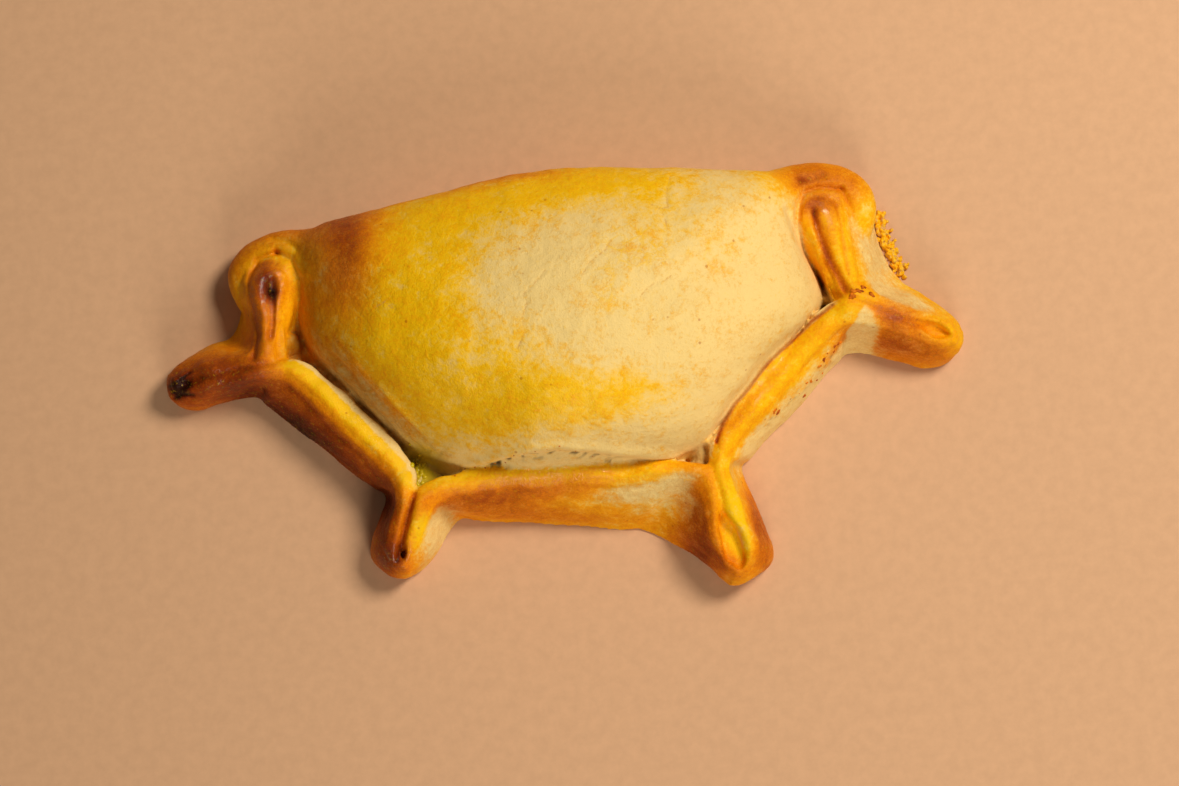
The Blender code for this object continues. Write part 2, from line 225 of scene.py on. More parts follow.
def smooth_curve(points, steps):
    """Points of a Catmull-Rom curve through the given ones, with steps to each span."""
    points = np.asarray(points, float)
    padded = np.vstack([2 * points[0] - points[1], points, 2 * points[-1] - points[-2]])
    curve = []
    for p0, p1, p2, p3 in zip(padded, padded[1:], padded[2:], padded[3:]):
        knots = np.cumsum([0.0] + [max(np.linalg.norm(b - a), 1e-6) ** 0.5
                                   for a, b in ((p0, p1), (p1, p2), (p2, p3))])
        for t in np.linspace(knots[1], knots[2], steps, endpoint=False):
            a1 = p0 + (p1 - p0) * (t - knots[0]) / (knots[1] - knots[0])
            a2 = p1 + (p2 - p1) * (t - knots[1]) / (knots[2] - knots[1])
            a3 = p2 + (p3 - p2) * (t - knots[2]) / (knots[3] - knots[2])
            b1 = a1 + (a2 - a1) * (t - knots[0]) / (knots[2] - knots[0])
            b2 = a2 + (a3 - a2) * (t - knots[1]) / (knots[3] - knots[1])
            curve.append(b1 + (b2 - b1) * (t - knots[1]) / (knots[2] - knots[1]))
    curve.append(points[-1])
    return np.array(curve)


class Dough:
    """Collects closed pieces of dough: their points, faces, and for each point its kind and place."""

    def __init__(self):
        self.points, self.faces, self.kinds, self.places = [], [], [], []
        self.count = 0

    def add_rings(self, rings, kind, places=None):
        """A closed piece from a row of point rings, capped at both ends."""
        rings = np.asarray(rings, float)
        count, around = rings.shape[:2]
        points = rings.reshape(-1, 3)
        near, far = rings[0].mean(axis=0), rings[-1].mean(axis=0)
        i, j = np.meshgrid(np.arange(count - 1), np.arange(around), indexing="ij")
        k = (j + 1) % around
        quads = np.stack([i * around + j, i * around + k, (i + 1) * around + k, (i + 1) * around + j], -1)
        quads = quads.reshape(-1, 4)
        loop = np.arange(around)
        after = (loop + 1) % around
        hub = np.full(around, len(points))
        first = np.stack([hub, after, loop], -1)
        last = np.stack([hub + 1, loop + (count - 1) * around, after + (count - 1) * around], -1)
        points = np.vstack([points, near, far])
        a, b, c, d = (points[quads[:, n]] for n in range(4))
        volume = (np.einsum("ij,ij->", a, np.cross(b, c)) + np.einsum("ij,ij->", a, np.cross(c, d)))
        faces = [tuple(face) for part in (quads, first, last) for face in part]
        if volume < 0:
            faces = [face[::-1] for face in faces]
        self.faces += [tuple(int(v) + self.count for v in face) for face in faces]
        self.points.append(points)
        self.kinds.append(np.full(len(points), kind))
        place = np.zeros((len(points), 2))
        if places is not None:
            place[:-2] = np.asarray(places, float).reshape(-1, 2)
            place[-2:] = place[0]
        self.places.append(place)
        self.count += len(points)

    def add_prism(self, corners, tops, kind):
        """An upright block, its top a fan of rings so that it has points all over."""
        low = np.array([at(corner, 0.0) for corner in corners])
        high = np.array([at(corner, top) for corner, top in zip(corners, tops)])
        middle = high.mean(axis=0)
        shares = np.linspace(0.9, 0.1, PRISM_RINGS)
        self.add_rings([low, high] + [middle + (high - middle) * share for share in shares], kind)


def ear_axes(ear):
    """The ear's direction from root to tip, its length, and the direction across it towards after."""
    along = np.subtract(ear.tip, ear.root)
    length = np.linalg.norm(along)
    along = along / length
    across = np.array([-along[1], along[0]])
    return along, length, across * np.sign(np.dot(across, np.subtract(ear.after, ear.root)))


def ear_stations(ear, side):
    """Stations of the rim along one layer of an ear, from beside its root to just round its tip."""
    along, length, across = ear_axes(ear)
    root, tip, across = np.array(ear.root), np.array(ear.tip), across * side
    widths = ear.after_widths if side > 0 else ear.before_widths
    reach = length - EAR_WALL
    drop = ROOT_HEIGHT - ear.tip_height
    stations = []
    for foot_share, crest_share, width, gap in zip(EAR_SHARES, CREST_SHARES, widths, ear.gaps):
        foot = root + along * length * foot_share + across * width
        crest = root + along * reach * crest_share + across * gap
        foot = at(foot, TIP_LIFT * (foot_share - TIP_LIFT_START))
        crest = at(crest, ROOT_HEIGHT - drop * crest_share)
        stations.append((foot, crest, EAR_EDGE, WALL_BELLY))
    end = root + along * reach
    for beyond, foot_back, crest_back in TIP_STATIONS:
        stations.append((at(tip + along * beyond - across * foot_back, TIP_LIFT),
                         at(end - across * crest_back, ear.tip_height), EAR_EDGE, WALL_BELLY))
    return stations


def wall_stations(first, last, bows, cut):
    """Stations of a straight wall between two ears, its crest bowed over the filling."""
    start, end = np.array(first.root), np.array(last.root)
    run = unit(end - start)
    inward = np.array([-run[1], run[0]])
    stations = [(at(first.after, 0.0), at(start, ROOT_HEIGHT), CLOSED_EDGE, -WALL_BELLY)]
    for share, bow in zip(WALL_SHARES, bows):
        foot = np.array(first.after) * (1 - share) + np.array(last.before) * share
        middle = 1 - abs(2 * share - 1) ** WALL_FULLNESS
        crest = start + (end - start) * share + inward * bow
        height = ROOT_HEIGHT + (WALL_HEIGHT - ROOT_HEIGHT) * middle
        edge = CLOSED_EDGE + (cut - CLOSED_EDGE) * middle
        stations.append((at(foot, 0.0), at(crest, height), edge, WALL_BELLY))
    stations.append((at(last.before, 0.0), at(end, ROOT_HEIGHT), CLOSED_EDGE, -WALL_BELLY))
    return stations


def strap_stations(strap, ear):
    """Stations of the hairpin: up its inner leg, round the head, and down its outer leg to the root."""
    root, head = np.array(ear.root), np.array(strap.head)
    up_leg = unit(head - root)
    inner = unit(np.array([-strap.side, 0.0]) - up_leg * np.dot((-strap.side, 0.0), up_leg))
    stations = []
    for share in STRAP_INNER_SHARES:
        middle = root + (head - root) * share
        gap = strap.groove * (2 * share - 1)
        crest = middle + inner * gap
        width = strap.inner_width * (STRAP_ROOT_SHARE + (1 - STRAP_ROOT_SHARE) * share)
        foot = middle + inner * (gap + width)
        stations.append((at(foot, CREASE_FLOOR), at(crest, WALL_HEIGHT), CLOSED_EDGE, WALL_BELLY))
    for turn in STRAP_HEAD_TURNS:
        angle = math.radians(turn)
        out = inner * math.cos(angle) + up_leg * math.sin(angle)
        width = strap.inner_width + (strap.outer_width - strap.inner_width) * 0.5 * (1 - math.cos(angle))
        foot = head + out * (strap.groove + min(width, STRAP_HEAD_WIDTH))
        crest = head + out * strap.groove
        crest = at(crest, WALL_HEIGHT + STRAP_HEAD_LIFT)
        stations.append((at(foot, CREASE_FLOOR), crest, CLOSED_EDGE, WALL_BELLY))
    hollow = ear.before if strap.side < 0 else ear.after
    feet = (*strap.wall_feet[:2], hollow)
    for share, foot in zip(STRAP_OUTER_SHARES, feet):
        crest = root + (head - root) * share - inner * strap.groove * (2 * share - 1)
        stations.append((at(foot, 0.0), at(crest, WALL_HEIGHT), CLOSED_EDGE, WALL_BELLY))
    stations.append((at(strap.wall_feet[2], 0.0), at(root, ROOT_HEIGHT), CLOSED_EDGE, -WALL_BELLY))
    return stations


def section(foot, crest, edge, belly):
    """Cross-section of the rim and the place of each of its points, from foot to cut edge."""
    inward = crest - foot
    inward[2] = 0.0
    reach = np.linalg.norm(inward)
    inward = inward / reach
    up = np.array([0.0, 0.0, 1.0])
    band = min(BAND_WIDTH, BAND_LIMIT_SHARE * reach)
    shoulder = crest - inward * band - up * BAND_DROP
    wall = (foot + shoulder) / 2 - inward * belly + up * abs(belly)
    crown = crest - inward * band * CROWN_SHARE + up * BAND_CROWN
    side = list(smooth_curve([foot, wall, shoulder], SECTION_STEPS))
    top = list(smooth_curve([shoulder, crown, crest], SECTION_STEPS))
    loop = side + top[1:]
    places = list(np.linspace(FOOT, SHOULDER, len(side))) + list(np.linspace(SHOULDER, CREST, len(top)))[1:]
    lip = crest + inward * edge - up * (CUT_LEAN_START + CUT_LEAN * edge)
    for share in np.linspace(0.0, 1.0, CUT_STEPS + 1)[1:]:
        loop.append(crest + (lip - crest) * share)
        places.append(CREST + share)
    low = foot[2] < LOW_FOOT
    inner = at(crest + inward * edge * INSIDE_SHARE, 0.0 if low else foot[2] - INSIDE_DROP)
    loop += [lip * LIP_SHARE + inner * (1 - LIP_SHARE), inner]
    if low:
        loop.append(at(foot + inward * FOOT_INSETS[0], 0.0))
    else:
        loop.append(foot + inward * FOOT_INSETS[1] - up * FOOT_DROP)
    places += [(EDGE + INSIDE) / 2, INSIDE, INSIDE]
    return loop, places


def wander(point, amount, scale):
    """A small hand-made unevenness of a point in plan."""
    place = Vector(point) / scale
    return np.array([noise.noise(place), noise.noise(place + Vector(WANDER_SHIFT)), 0.0]) * amount


def add_rim(dough, stations):
    """One length of folded rim through the given stations of foot, crest, edge and belly."""
    columns = [smooth_curve([np.atleast_1d(s[i]) for s in stations], SPAN_STEPS) for i in range(4)]
    rings, places = [], []
    for foot, crest, edge, belly in zip(*columns):
        lift = noise.noise(Vector(crest) / CREST_LIFT[1] + Vector(LIFT_SHIFT)) * CREST_LIFT[0]
        crest = crest + wander(crest, *CREST_WANDER) + (0.0, 0.0, lift)
        foot = foot + wander(foot, *FOOT_WANDER)
        swell = 1 + EDGE_SWELL[0] * noise.noise(Vector(crest) / EDGE_SWELL[1])
        loop, steps = section(foot, crest, edge[0] * swell, belly[0])
        rings.append(loop)
        places.append([(step, edge[0]) for step in steps])
    dough.add_rings(rings, RIM, places)


def body_outline():
    """The plan outline of the filled body: its corners joined, bulged along the fold and rounded."""
    points = []
    for i, corner in enumerate(BODY_CORNERS):
        start, end = np.array(corner), np.array(BODY_CORNERS[(i + 1) % len(BODY_CORNERS)])
        for share in np.arange(0.0, 1.0, 1.0 / round(np.linalg.norm(end - start))):
            bulge = FOLD_BULGE * math.sin(math.pi * share) ** 2 if i == 0 else 0.0
            points.append(start + (end - start) * share + np.array([0.0, bulge]))
    points = np.array(points)
    for _ in range(BODY_ROUNDING):
        points = (np.roll(points, 1, axis=0) + 2 * points + np.roll(points, -1, axis=0)) / 4
    return points


def add_body(dough):
    """The filled body: a pillow on its outline, round at the fold and creased along the rim."""
    outline = body_outline()
    centre = np.array(BODY_CENTRE)
    turns = np.arctan2(*(outline - centre).T[::-1]) % (2 * math.pi)
    order = np.argsort(turns)
    reaches = np.linalg.norm(outline - centre, axis=1)[order]
    rings = [[] for _ in range(BODY_UNDER_RINGS + BODY_RINGS)]
    for j in range(BODY_SECTORS):
        angle = 2 * math.pi * j / BODY_SECTORS
        out = np.array([math.cos(angle), math.sin(angle)])
        reach = np.interp(angle, turns[order], reaches, period=2 * math.pi)
        fold = 1 / (1 + math.exp(-(centre[1] + reach * out[1] - FOLD_LINE[0]) / FOLD_LINE[1]))
        girth = CREASE_GIRTH_HEIGHT + (FOLD_GIRTH_HEIGHT - CREASE_GIRTH_HEIGHT) * fold
        for k in range(BODY_UNDER_RINGS):
            turn = (BODY_UNDER_RINGS - k) / BODY_UNDER_RINGS * math.pi / 2
            radius = reach - (CREASE_UNDERCUT + FOLD_UNDERCUT * fold) * (1 - math.cos(turn))
            rings[k].append(at(centre + out * radius, girth - girth * math.sin(turn)))
        crown = 1 / math.hypot(out[0] / BODY_CROWN[0], out[1] / BODY_CROWN[1])
        slope = BODY_ROUNDNESS[0]
        for direction, spread, extra in BODY_SLOPES:
            off = (math.degrees(angle) - direction + 180.0) % 360.0 - 180.0
            slope += extra * math.exp(-(off / spread) ** 2)
        for k in range(BODY_RINGS):
            share = k / BODY_RINGS
            turn = share * math.pi / 2
            height = girth + (BODY_HEIGHT - girth) * math.sin(turn) ** slope
            radius = reach + (crown - reach) * share * share * (3 - 2 * share)
            radius = radius * math.cos(turn) ** BODY_ROUNDNESS[1]
            rings[BODY_UNDER_RINGS + k].append(at(centre + out * radius, height))
    dough.add_rings(rings, BODY)


def add_bead(dough, places):
    """A thick rounded bead of dough through the given places, standing on the resting plane."""
    places = smooth_curve(places, SPAN_STEPS)
    rings = []
    for i, (x, y, top, half_width) in enumerate(places):
        along = unit(places[min(i + 1, len(places) - 1)][:2] - places[max(i - 1, 0)][:2])
        across = np.array([along[1], -along[0]])
        girth = top * BEAD_GIRTH_SHARE
        ring = []
        for j in range(BEAD_SIDES):
            angle = 2 * math.pi * j / BEAD_SIDES
            rise = top - girth if math.sin(angle) > 0 else girth
            ring.append(at((x, y) + across * half_width * math.cos(angle), girth + rise * math.sin(angle)))
        rings.append(ring)
    dough.add_rings(rings, BEAD)


def add_infill(dough, start, end, tops):
    """A block between two layers of rim, up to the floor of their groove, which may slope."""
    along = unit(np.subtract(end, start))
    across = np.array([-along[1], along[0]]) * SLOT_HALF_WIDTH
    dough.add_prism([start - across, end - across, end + across, start + across],
                    (tops[0], tops[1], tops[1], tops[0]), INFILL)


def add_lump(dough, x, y, radius, top, kind, bottom=0.0, squash=1.0, turn=0.0):
    """A rounded dome of dough, or with a bottom below its middle a whole pebble."""
    rings = []
    for k in range(-LUMP_RINGS + 1 if bottom else 0, LUMP_RINGS):
        rise = k / LUMP_RINGS * math.pi / 2
        ring = []
        for j in range(LUMP_SIDES):
            angle = 2 * math.pi * j / LUMP_SIDES
            u = math.cos(angle) * math.cos(rise) * radius
            v = math.sin(angle) * math.cos(rise) * radius * squash
            height = top * math.sin(rise) if k >= 0 else bottom * -math.sin(rise)
            ring.append((x + u * math.cos(turn) - v * math.sin(turn),
                         y + u * math.sin(turn) + v * math.cos(turn), height))
        rings.append(ring)
    dough.add_rings(rings, kind)


def all_dough():
    """Every piece of dough that the crust is fused from."""
    dough = Dough()
    add_body(dough)
    base = [ear.root for ear in EARS] + [*BASE_CORNERS]
    dough.add_prism(base, [CREASE_FLOOR] * len(base), BASE)
    left, right = STRAPS
    add_rim(dough, strap_stations(left, EARS[0]) + ear_stations(EARS[0], -1))
    for first, last, bows, cut in zip(EARS, EARS[1:], WALL_BOWS, CUT_EDGES):
        stations = ear_stations(first, 1)[::-1] + wall_stations(first, last, bows, cut)
        add_rim(dough, stations + ear_stations(last, -1))
    add_rim(dough, strap_stations(right, EARS[3]) + ear_stations(EARS[3], 1))
    for strap, ear in zip(STRAPS, (EARS[0], EARS[3])):
        add_bead(dough, strap.corner)
        floor = (strap.groove_floor, strap.groove_floor)
        add_infill(dough, np.array(ear.root), np.array(strap.head), floor)
    for ear in EARS:
        along, length, _ = ear_axes(ear)
        end = np.array(ear.root) + along * length * SLOT_SHARE
        add_infill(dough, np.array(ear.root), end, ear.slot_floor)
    for x, y, radius, top in CREASES:
        add_lump(dough, x, y, radius, top, CREASE)
    return dough


def fused(dough, voxel):
    """The dough's pieces fused into one skin by a voxel remesh, and its points in millimetres."""
    mesh = bpy.data.meshes.new("dough")
    mesh.from_pydata([tuple(p) for p in np.vstack(dough.points)], [], dough.faces)
    obj = bpy.data.objects.new("dough", mesh)
    bpy.context.scene.collection.objects.link(obj)
    remesh = obj.modifiers.new("fuse", "REMESH")
    remesh.mode = "VOXEL"
    remesh.voxel_size = voxel
    remesh.adaptivity = 0.0
    skin = bpy.data.meshes.new_from_object(obj.evaluated_get(bpy.context.evaluated_depsgraph_get()))
    bpy.data.objects.remove(obj, do_unlink=True)
    points = np.empty(len(skin.vertices) * 3)
    skin.vertices.foreach_get("co", points)
    return skin, points.reshape(-1, 3)


class Skin:
    """The fused skin's points and how they neighbour, with tools to smooth them and read noise."""

    def __init__(self, mesh, points):
        self.mesh, self.points = mesh, points
        edges = np.empty(len(mesh.edges) * 2, dtype=np.int64)
        mesh.edges.foreach_get("vertices", edges)
        self.a, self.b = edges.reshape(-1, 2).T
        size = len(points)
        self.degree = np.bincount(self.a, minlength=size) + np.bincount(self.b, minlength=size)

    def mean(self, values):
        """The mean of each point's neighbours."""
        if values.ndim > 1:
            return np.stack([self.mean(column) for column in values.T], -1)
        size = len(values)
        total = np.bincount(self.a, values[self.b], size) + np.bincount(self.b, values[self.a], size)
        return total / self.degree

    def smooth(self, values, passes, share=0.5):
        """Values evened out among neighbours, by one share for all or a share for each point."""
        for _ in range(passes):
            values = values + (self.mean(values) - values) * share
        return values

    def normals(self):
        """The skin's normals where its points are now."""
        self.mesh.vertices.foreach_set("co", self.points.ravel())
        self.mesh.update()
        normals = np.empty(len(self.points) * 3)
        self.mesh.vertex_normals.foreach_get("vector", normals)
        return normals.reshape(-1, 3)

    def noise(self, scale, seed):
        """Smooth noise from about -1 to 1 with features of the given size in millimetres."""
        where = self.points / scale + np.array(SEED_SHIFT) * seed
        return np.array([noise.noise(Vector(p)) for p in where]) * NOISE_REACH

    def finished(self):
        """The mesh with its points put in the part's frame."""
        self.mesh.vertices.foreach_set("co", to_frame(self.points).ravel())
        return self.mesh


def ramp(value, low, high):
    """0 below low, 1 above high, smooth between."""
    share = np.clip((value - low) / (high - low), 0, 1)
    return share * share * (3 - 2 * share)


def hill(value, middle, width):
    """1 at the middle, falling off to 0 within about twice the width."""
    return np.exp(-((value - middle) / width) ** 2)


def blobs(points, patches):
    """Soft patches in plan added together: each has a place, two radii, a turn and a strength."""
    total = np.zeros(len(points))
    for x, y, rx, ry, turn, strength in patches:
        c, s = math.cos(math.radians(turn)), math.sin(math.radians(turn))
        dx, dy = points[:, 0] - x, points[:, 1] - y
        total += strength * np.exp(-((dx * c + dy * s) / rx) ** 2 - ((dy * c - dx * s) / ry) ** 2)
    return total


def beside(points, path):
    """How far each point is in plan from a path, with its sign from the side of the path it is on."""
    best = np.full(len(points), np.inf)
    signs = np.ones(len(points))
    flat = points[:, :2]
    for start, end in zip(np.asarray(path, float), np.asarray(path, float)[1:]):
        run = end - start
        share = np.clip(((flat - start) @ run) / (run @ run), 0, 1)
        off = flat - start - share[:, None] * run
        reach = np.linalg.norm(off, axis=1)
        nearer = reach < best
        best = np.where(nearer, reach, best)
        signs = np.where(nearer, np.sign(run[0] * off[:, 1] - run[1] * off[:, 0]), signs)
    return best * signs


# Patches on the crust: place and two radii in millimetres, turn in degrees, strength. Gold is egg wash,
# bare takes the wash off the rim and off the band along its top, and glaze is a wet shine.
GOLD_ON_BODY = (
    (-42.5, 22.7, 16.6, 21.4, -7, 1.30),
    (-24.9, 27.6, 11.7, 15.6, -7, 1.00),
    (-30.7, 8.6, 11.7, 13.7, -7, 1.00),
    (-14.4, 37.0, 17.6, 6.8, 1, 1.40),
    (5.5, 39.3, 17.6, 5.1, -7, 1.50),
    (18.6, 34.6, 11.7, 5.9, -7, 0.42),
    (21.6, 28.7, 6.8, 7.8, -37, 0.28),
    (-16.8, -2.7, 13.7, 7.8, -7, 1.00),
    (0.2, -4.5, 15.6, 5.1, -5, 1.05),
    (13.5, -4.9, 7.0, 3.5, -7, 0.35),
    (-10.8, 5.8, 7.8, 5.1, 13, 0.45),
    (11.1, 14.6, 4.7, 6.6, -7, 0.16),
    (51.1, 36.3, 9.0, 6.0, -7, 2.00),
    (59.7, 31.0, 6.0, 8.0, -7, 2.20),
    (-40.6, 2.2, 4.2, 14.0, 38, -0.95),
    (32.6, 23.6, 9.8, 7.8, -7, 0.12),
    (-60.3, 31.0, 9.0, 9.0, 0, 2.00),
)
TOAST_ON_BODY = (
    # The slope by the left wall into its valley: partly browning, partly painted shade
    (-41.0, 2.6, 4.6, 14.0, 38, 0.20),
    (-39.1, 29.8, 5.1, 12.1, -3, 0.44),
    (-41.1, 37.2, 9.8, 5.1, -1, 0.25),
    (-46.2, 21.6, 5.1, 9.8, -7, 0.15),
    (-55.2, 37.0, 9.8, 4.5, -7, 0.30),
    (-33.9, 27.2, 7.8, 11.7, -7, 0.04),
    (-16.5, 41.3, 15.6, 2.3, 3, 0.22),
    (-4.3, 41.4, 9.8, 1.6, -3, 0.14),
    (-62.7, 31.7, 3.9, 7.8, -7, 0.30),
    (51.7, 36.0, 6.0, 4.0, -7, 0.36),
    (59.7, 32.0, 5.0, 5.0, -7, 0.34),
    (51.7, 31.0, 4.0, 2.0, 0, 0.16),
    (50.3, 33.6, 1.8, 1.4, 0, 0.25),
)
# Painted shade: an olive tint on the body in the valleys and hollows beside the rim, where shade falls
SHADE_ON_BODY = (
    (-46.7, 15.4, 3.3, 8.0, 20, 0.50),
    (-33.3, -7.8, 4.4, 9.8, 38, 0.60),
    (-41.5, 3.8, 4.0, 13.0, 38, 0.80),
    (-30.0, -14.5, 5.1, 3.9, -7, 0.90),
    (43.7, 0.5, 5.9, 11.7, -37, 0.35),
    (22.4, -14.4, 5.9, 3.1, -7, 0.30),
    (-49.5, 25.1, 2.0, 11.7, -7, 0.50),
)
TOAST_ON_RIM = (
    (-68.5, 9.9, 9.8, 5.1, 1, 0.42),
    (-75.2, 8.1, 4.7, 5.1, -7, 0.35),
    (-67.1, 4.8, 7.8, 2.3, 1, 0.20),
    (-57.8, 21.5, 2.3, 11.7, -7, 0.30),
    (-55.3, 26.2, 3.9, 3.9, -7, 0.20),
    (-56.2, 30.9, 4.7, 2.7, -7, 0.15),
    # The lower left wall's outer face: browned, and darker still as painted shade on the side turned from
    # the light
    (-54.0, -2.6, 4.9, 13.7, 45, 0.82),
    (-42.6, -12.8, 2.4, 9.8, 35, 0.32),
    (-38.7, -23.4, 3.5, 11.7, -7, 0.54),
    (-37.6, -30.8, 5.5, 3.9, -7, 0.35),
    (-19.7, -20.8, 13.7, 2.7, -5, 0.34),
    (-3.9, -20.4, 9.8, 2.0, -3, 0.20),
    (-8.4, -25.2, 17.6, 2.0, -10, 0.25),
    (22.6, -30.0, 3.5, 10.1, -1, 0.42),
    (22.7, -36.9, 9.8, 3.1, -37, 0.35),
    (31.6, -39.9, 5.9, 2.7, -7, 0.14),
    (34.8, -34.4, 2.6, 7.8, 1, 0.34),
    (33.2, -27.3, 2.3, 5.9, -7, 0.12),
    (66.4, 3.3, 6.6, 3.9, -17, 0.24),
    (69.6, -2.5, 7.8, 2.7, -17, 0.34),
    (60.2, 1.1, 7.8, 2.0, -15, 0.25),
    (52.3, 29.0, 4.3, 2.6, 13, 0.42),
    (53.8, 19.5, 1.4, 10.9, -15, 0.14),
    (56.2, 31.5, 5.9, 3.7, -7, 0.16),
    (31.8, -11.3, 1.6, 7.8, -45, 0.14),
    (54.2, 0.8, 5.9, 1.2, 43, 0.20),
    (-60.3, 3.0, 14.0, 30.0, 0, 0.10),
    (-76.6, 8.4, 2.6, 2.6, 0, 0.24),
    # Ear three's slot: its pale dough painted lighter still, as painted light inside the shaded slot
    (29.6, -32.4, 1.9, 5.6, 5, -0.42),
    (33.7, -32.0, 1.8, 8.0, 5, 0.14),
    (65.8, 4.9, 4.8, 2.4, -30, 0.16),
    (-47.4, -2.6, 2.2, 12.0, 45, -0.10),
    (-32.3, -27.0, 1.8, 6.5, -27, -0.14),
    (63.4, 5.6, 3.0, 2.0, -30, 0.12),
)
BARE_ON_RIM = (
    (11.4, -24.6, 12.1, 3.9, -11, 0.55),
    (21.1, -25.8, 2.7, 5.9, -7, 0.35),
    (63.7, 20.6, 4.3, 10.7, 7, 1.20),
    (67.1, 8.2, 6.6, 2.0, -27, 0.80),
    (48.1, -8.4, 4.3, 11.7, -59, 0.90),
    (37.2, -16.0, 3.1, 7.8, -52, 1.00),
    (57.8, -1.6, 5.9, 2.3, -7, 0.60),
    (-28.7, -25.4, 3.4, 7.0, -27, 1.20),
    # Ear three's slot, painted paler as painted light inside it
    (30.4, -32.6, 1.8, 6.2, 5, 0.25),
    (30.7, -13.0, 1.2, 2.0, 0, 0.10),
)
BARE_ON_BAND = (
    (13.1, -22.6, 8.6, 1.9, 2, 0.65),
    (19.1, -22.0, 3.2, 2.4, 0, 0.60),
    (67.5, 8.4, 6.5, 2.0, -27, 0.80),
    # Ear three's slot, painted paler as painted light inside it
    (29.9, -32.4, 1.8, 6.4, 5, 0.25),
)
# Where filling has seeped out; its colour is made brighter than the filling as painted light, since the
# body shades the spot
GREASE = (
    (-31.0, -13.2, 4.4, 4.6, -7, 1.20),
    (-33.2, -18.2, 2.0, 2.0, -7, 0.60),
)
GLAZE = (
    (-55.8, 25.0, 3.0, 6.5, -7, 1.0),
    (-37.8, -30.0, 3.0, 2.0, 0, 1.0),
    (54.0, 26.5, 1.6, 4.0, -20, 0.6),
    (64.7, 6.8, 4.0, 2.0, -25, 0.5),
    (35.7, -7.0, 1.6, 11.0, -45, 0.5),
    (-66.3, 10.0, 8.0, 3.0, 0, 0.4),
    (-8.3, -17.5, 16.0, 2.0, -4, 0.4),
    (-39.8, 29.0, 5.0, 10.0, 0, 0.3),
    (-12.3, -3.0, 20.0, 8.0, 0, 0.2),
)
CRACKLE = (
    (19.7, 25.0, 12.0, 10.0, -30, 0.9),
    (11.7, 15.0, 6.0, 8.0, 0, 0.7),
    (13.7, 36.0, 12.0, 5.0, 0, 0.6),
    (-0.3, 3.0, 14.0, 5.0, 0, 0.4),
)

# Where the body runs smoothly into the lobes
JOINS = ((-46.5, 32.5, 7.5, 7.5, 0, 1.0), (47.0, 33.0, 8.0, 7.0, 0, 1.0))
# Between which heights the smoothing there sets in, how often it is done and how strongly
JOINS_FROM = (2.0, 5.0)
JOIN_PASSES = 150
JOIN_SHARE = 0.5

# Lines on the crust, in plan millimetres
CRACKS = (
    ((-8.6, 5.5), (-6.7, 8.7), (-6.9, 11.4), (-5.6, 14.3), (-6.2, 15.9), (-4.1, 17.4), (-1.5, 20.0)),
    ((5.5, 18.5), (7.1, 20.5), (10.2, 22.5), (11.6, 24.4)),
    ((20.0, 31.0), (21.8, 29.7), (23.4, 30.1), (23.5, 33.3), (25.0, 37.1)),
    ((22.1, 29.3), (22.6, 25.8)),
    ((15.7, 12.9), (17.4, 14.3), (18.8, 15.1), (20.6, 15.3), (22.2, 16.3)),
    ((-34.7, 17.5), (-32.6, 18.3), (-30.8, 16.4)),
    ((-32.8, 18.3), (-31.1, 19.2)),
)
RIGHT_SEAM = ((27.5, -15.3), (29.1, -12.1), (32.1, -8.5), (35.9, -5.0), (40.0, -1.0), (44.3, 2.4),
              (49.1, 5.8), (53.4, 8.5))
# The wrinkles by the left wall run evenly spaced from the first of these paths to the second
WRINKLE_NEAR = ((-49.6, 13.8), (-45.6, 9.6), (-41.2, 3.9), (-37.0, -2.2), (-33.2, -8.2))
WRINKLE_FAR = ((-43.0, 13.6), (-38.5, 7.0), (-34.0, 0.2), (-29.0, -6.5), (-24.5, -11.0))
WRINKLE_COUNT = 5
SPLIT = ((-23.8, -14.3), (-18.8, -13.5), (-13.8, -12.9), (-8.8, -12.5), (-2.9, -12.7), (4.7, -14.3),
         (12.4, -15.8), (20.0, -17.4), (24.4, -18.6))
BURNT_EDGE = ((37.5, -13.1), (43.0, -8.8), (48.4, -5.1), (52.0, -1.4), (55.3, 2.6))
LACE_PATH = ((66.3, 26.4), (66.5, 23.4), (67.3, 20.2), (68.3, 17.2), (69.4, 14.4))
ROOT_FLAKES = ((57.3, 10.0), (58.6, 10.6), (59.9, 11.2), (60.9, 10.0))

# Lace: how finely its path and its skin are divided, and its grains, in millimetres
LACE_SEED = 11
LACE_STEPS = 10
LACE_VOXEL = 0.14
LACE_GRAINS = 4
LACE_SPREAD = 0.62
GRAIN_RADIUS = (0.35, 0.62)
GRAIN_TOP = (0.6, 1.6)
GRAIN_SQUASH = (0.6, 1.0)
GRAIN_TURN = (0.0, 3.0)
# Its unevenness: size and seed of the noise, height, and between which heights it sets in
LACE_ROUGHNESS = (0.7, 3)
LACE_RELIEF = 0.16
LACE_RELIEF_RAMP = (0.1, 0.5)

# Crumbs: how far they scatter in x and y, and their smallest and largest radius, in millimetres
CRUMB_SEED = 5
EDGE_SPREAD = (0.6, 0.6)
EDGE_SIZES = (0.2, 0.8)
EDGE_SHARE = 0.75
EDGE_STEPS = 6
ROOT_SPREAD = (0.5, 0.35)
ROOT_SIZES = (0.5, 1.1)
ROOT_COUNT = 3
SPLIT_OFFSET = 1.0
SPLIT_SPREAD = 0.4
SPLIT_SIZES = (0.2, 0.4)
SPLIT_STEPS = 10
SPLIT_SKIP = 4
CRUMBED_SPLIT = SPLIT[:6]
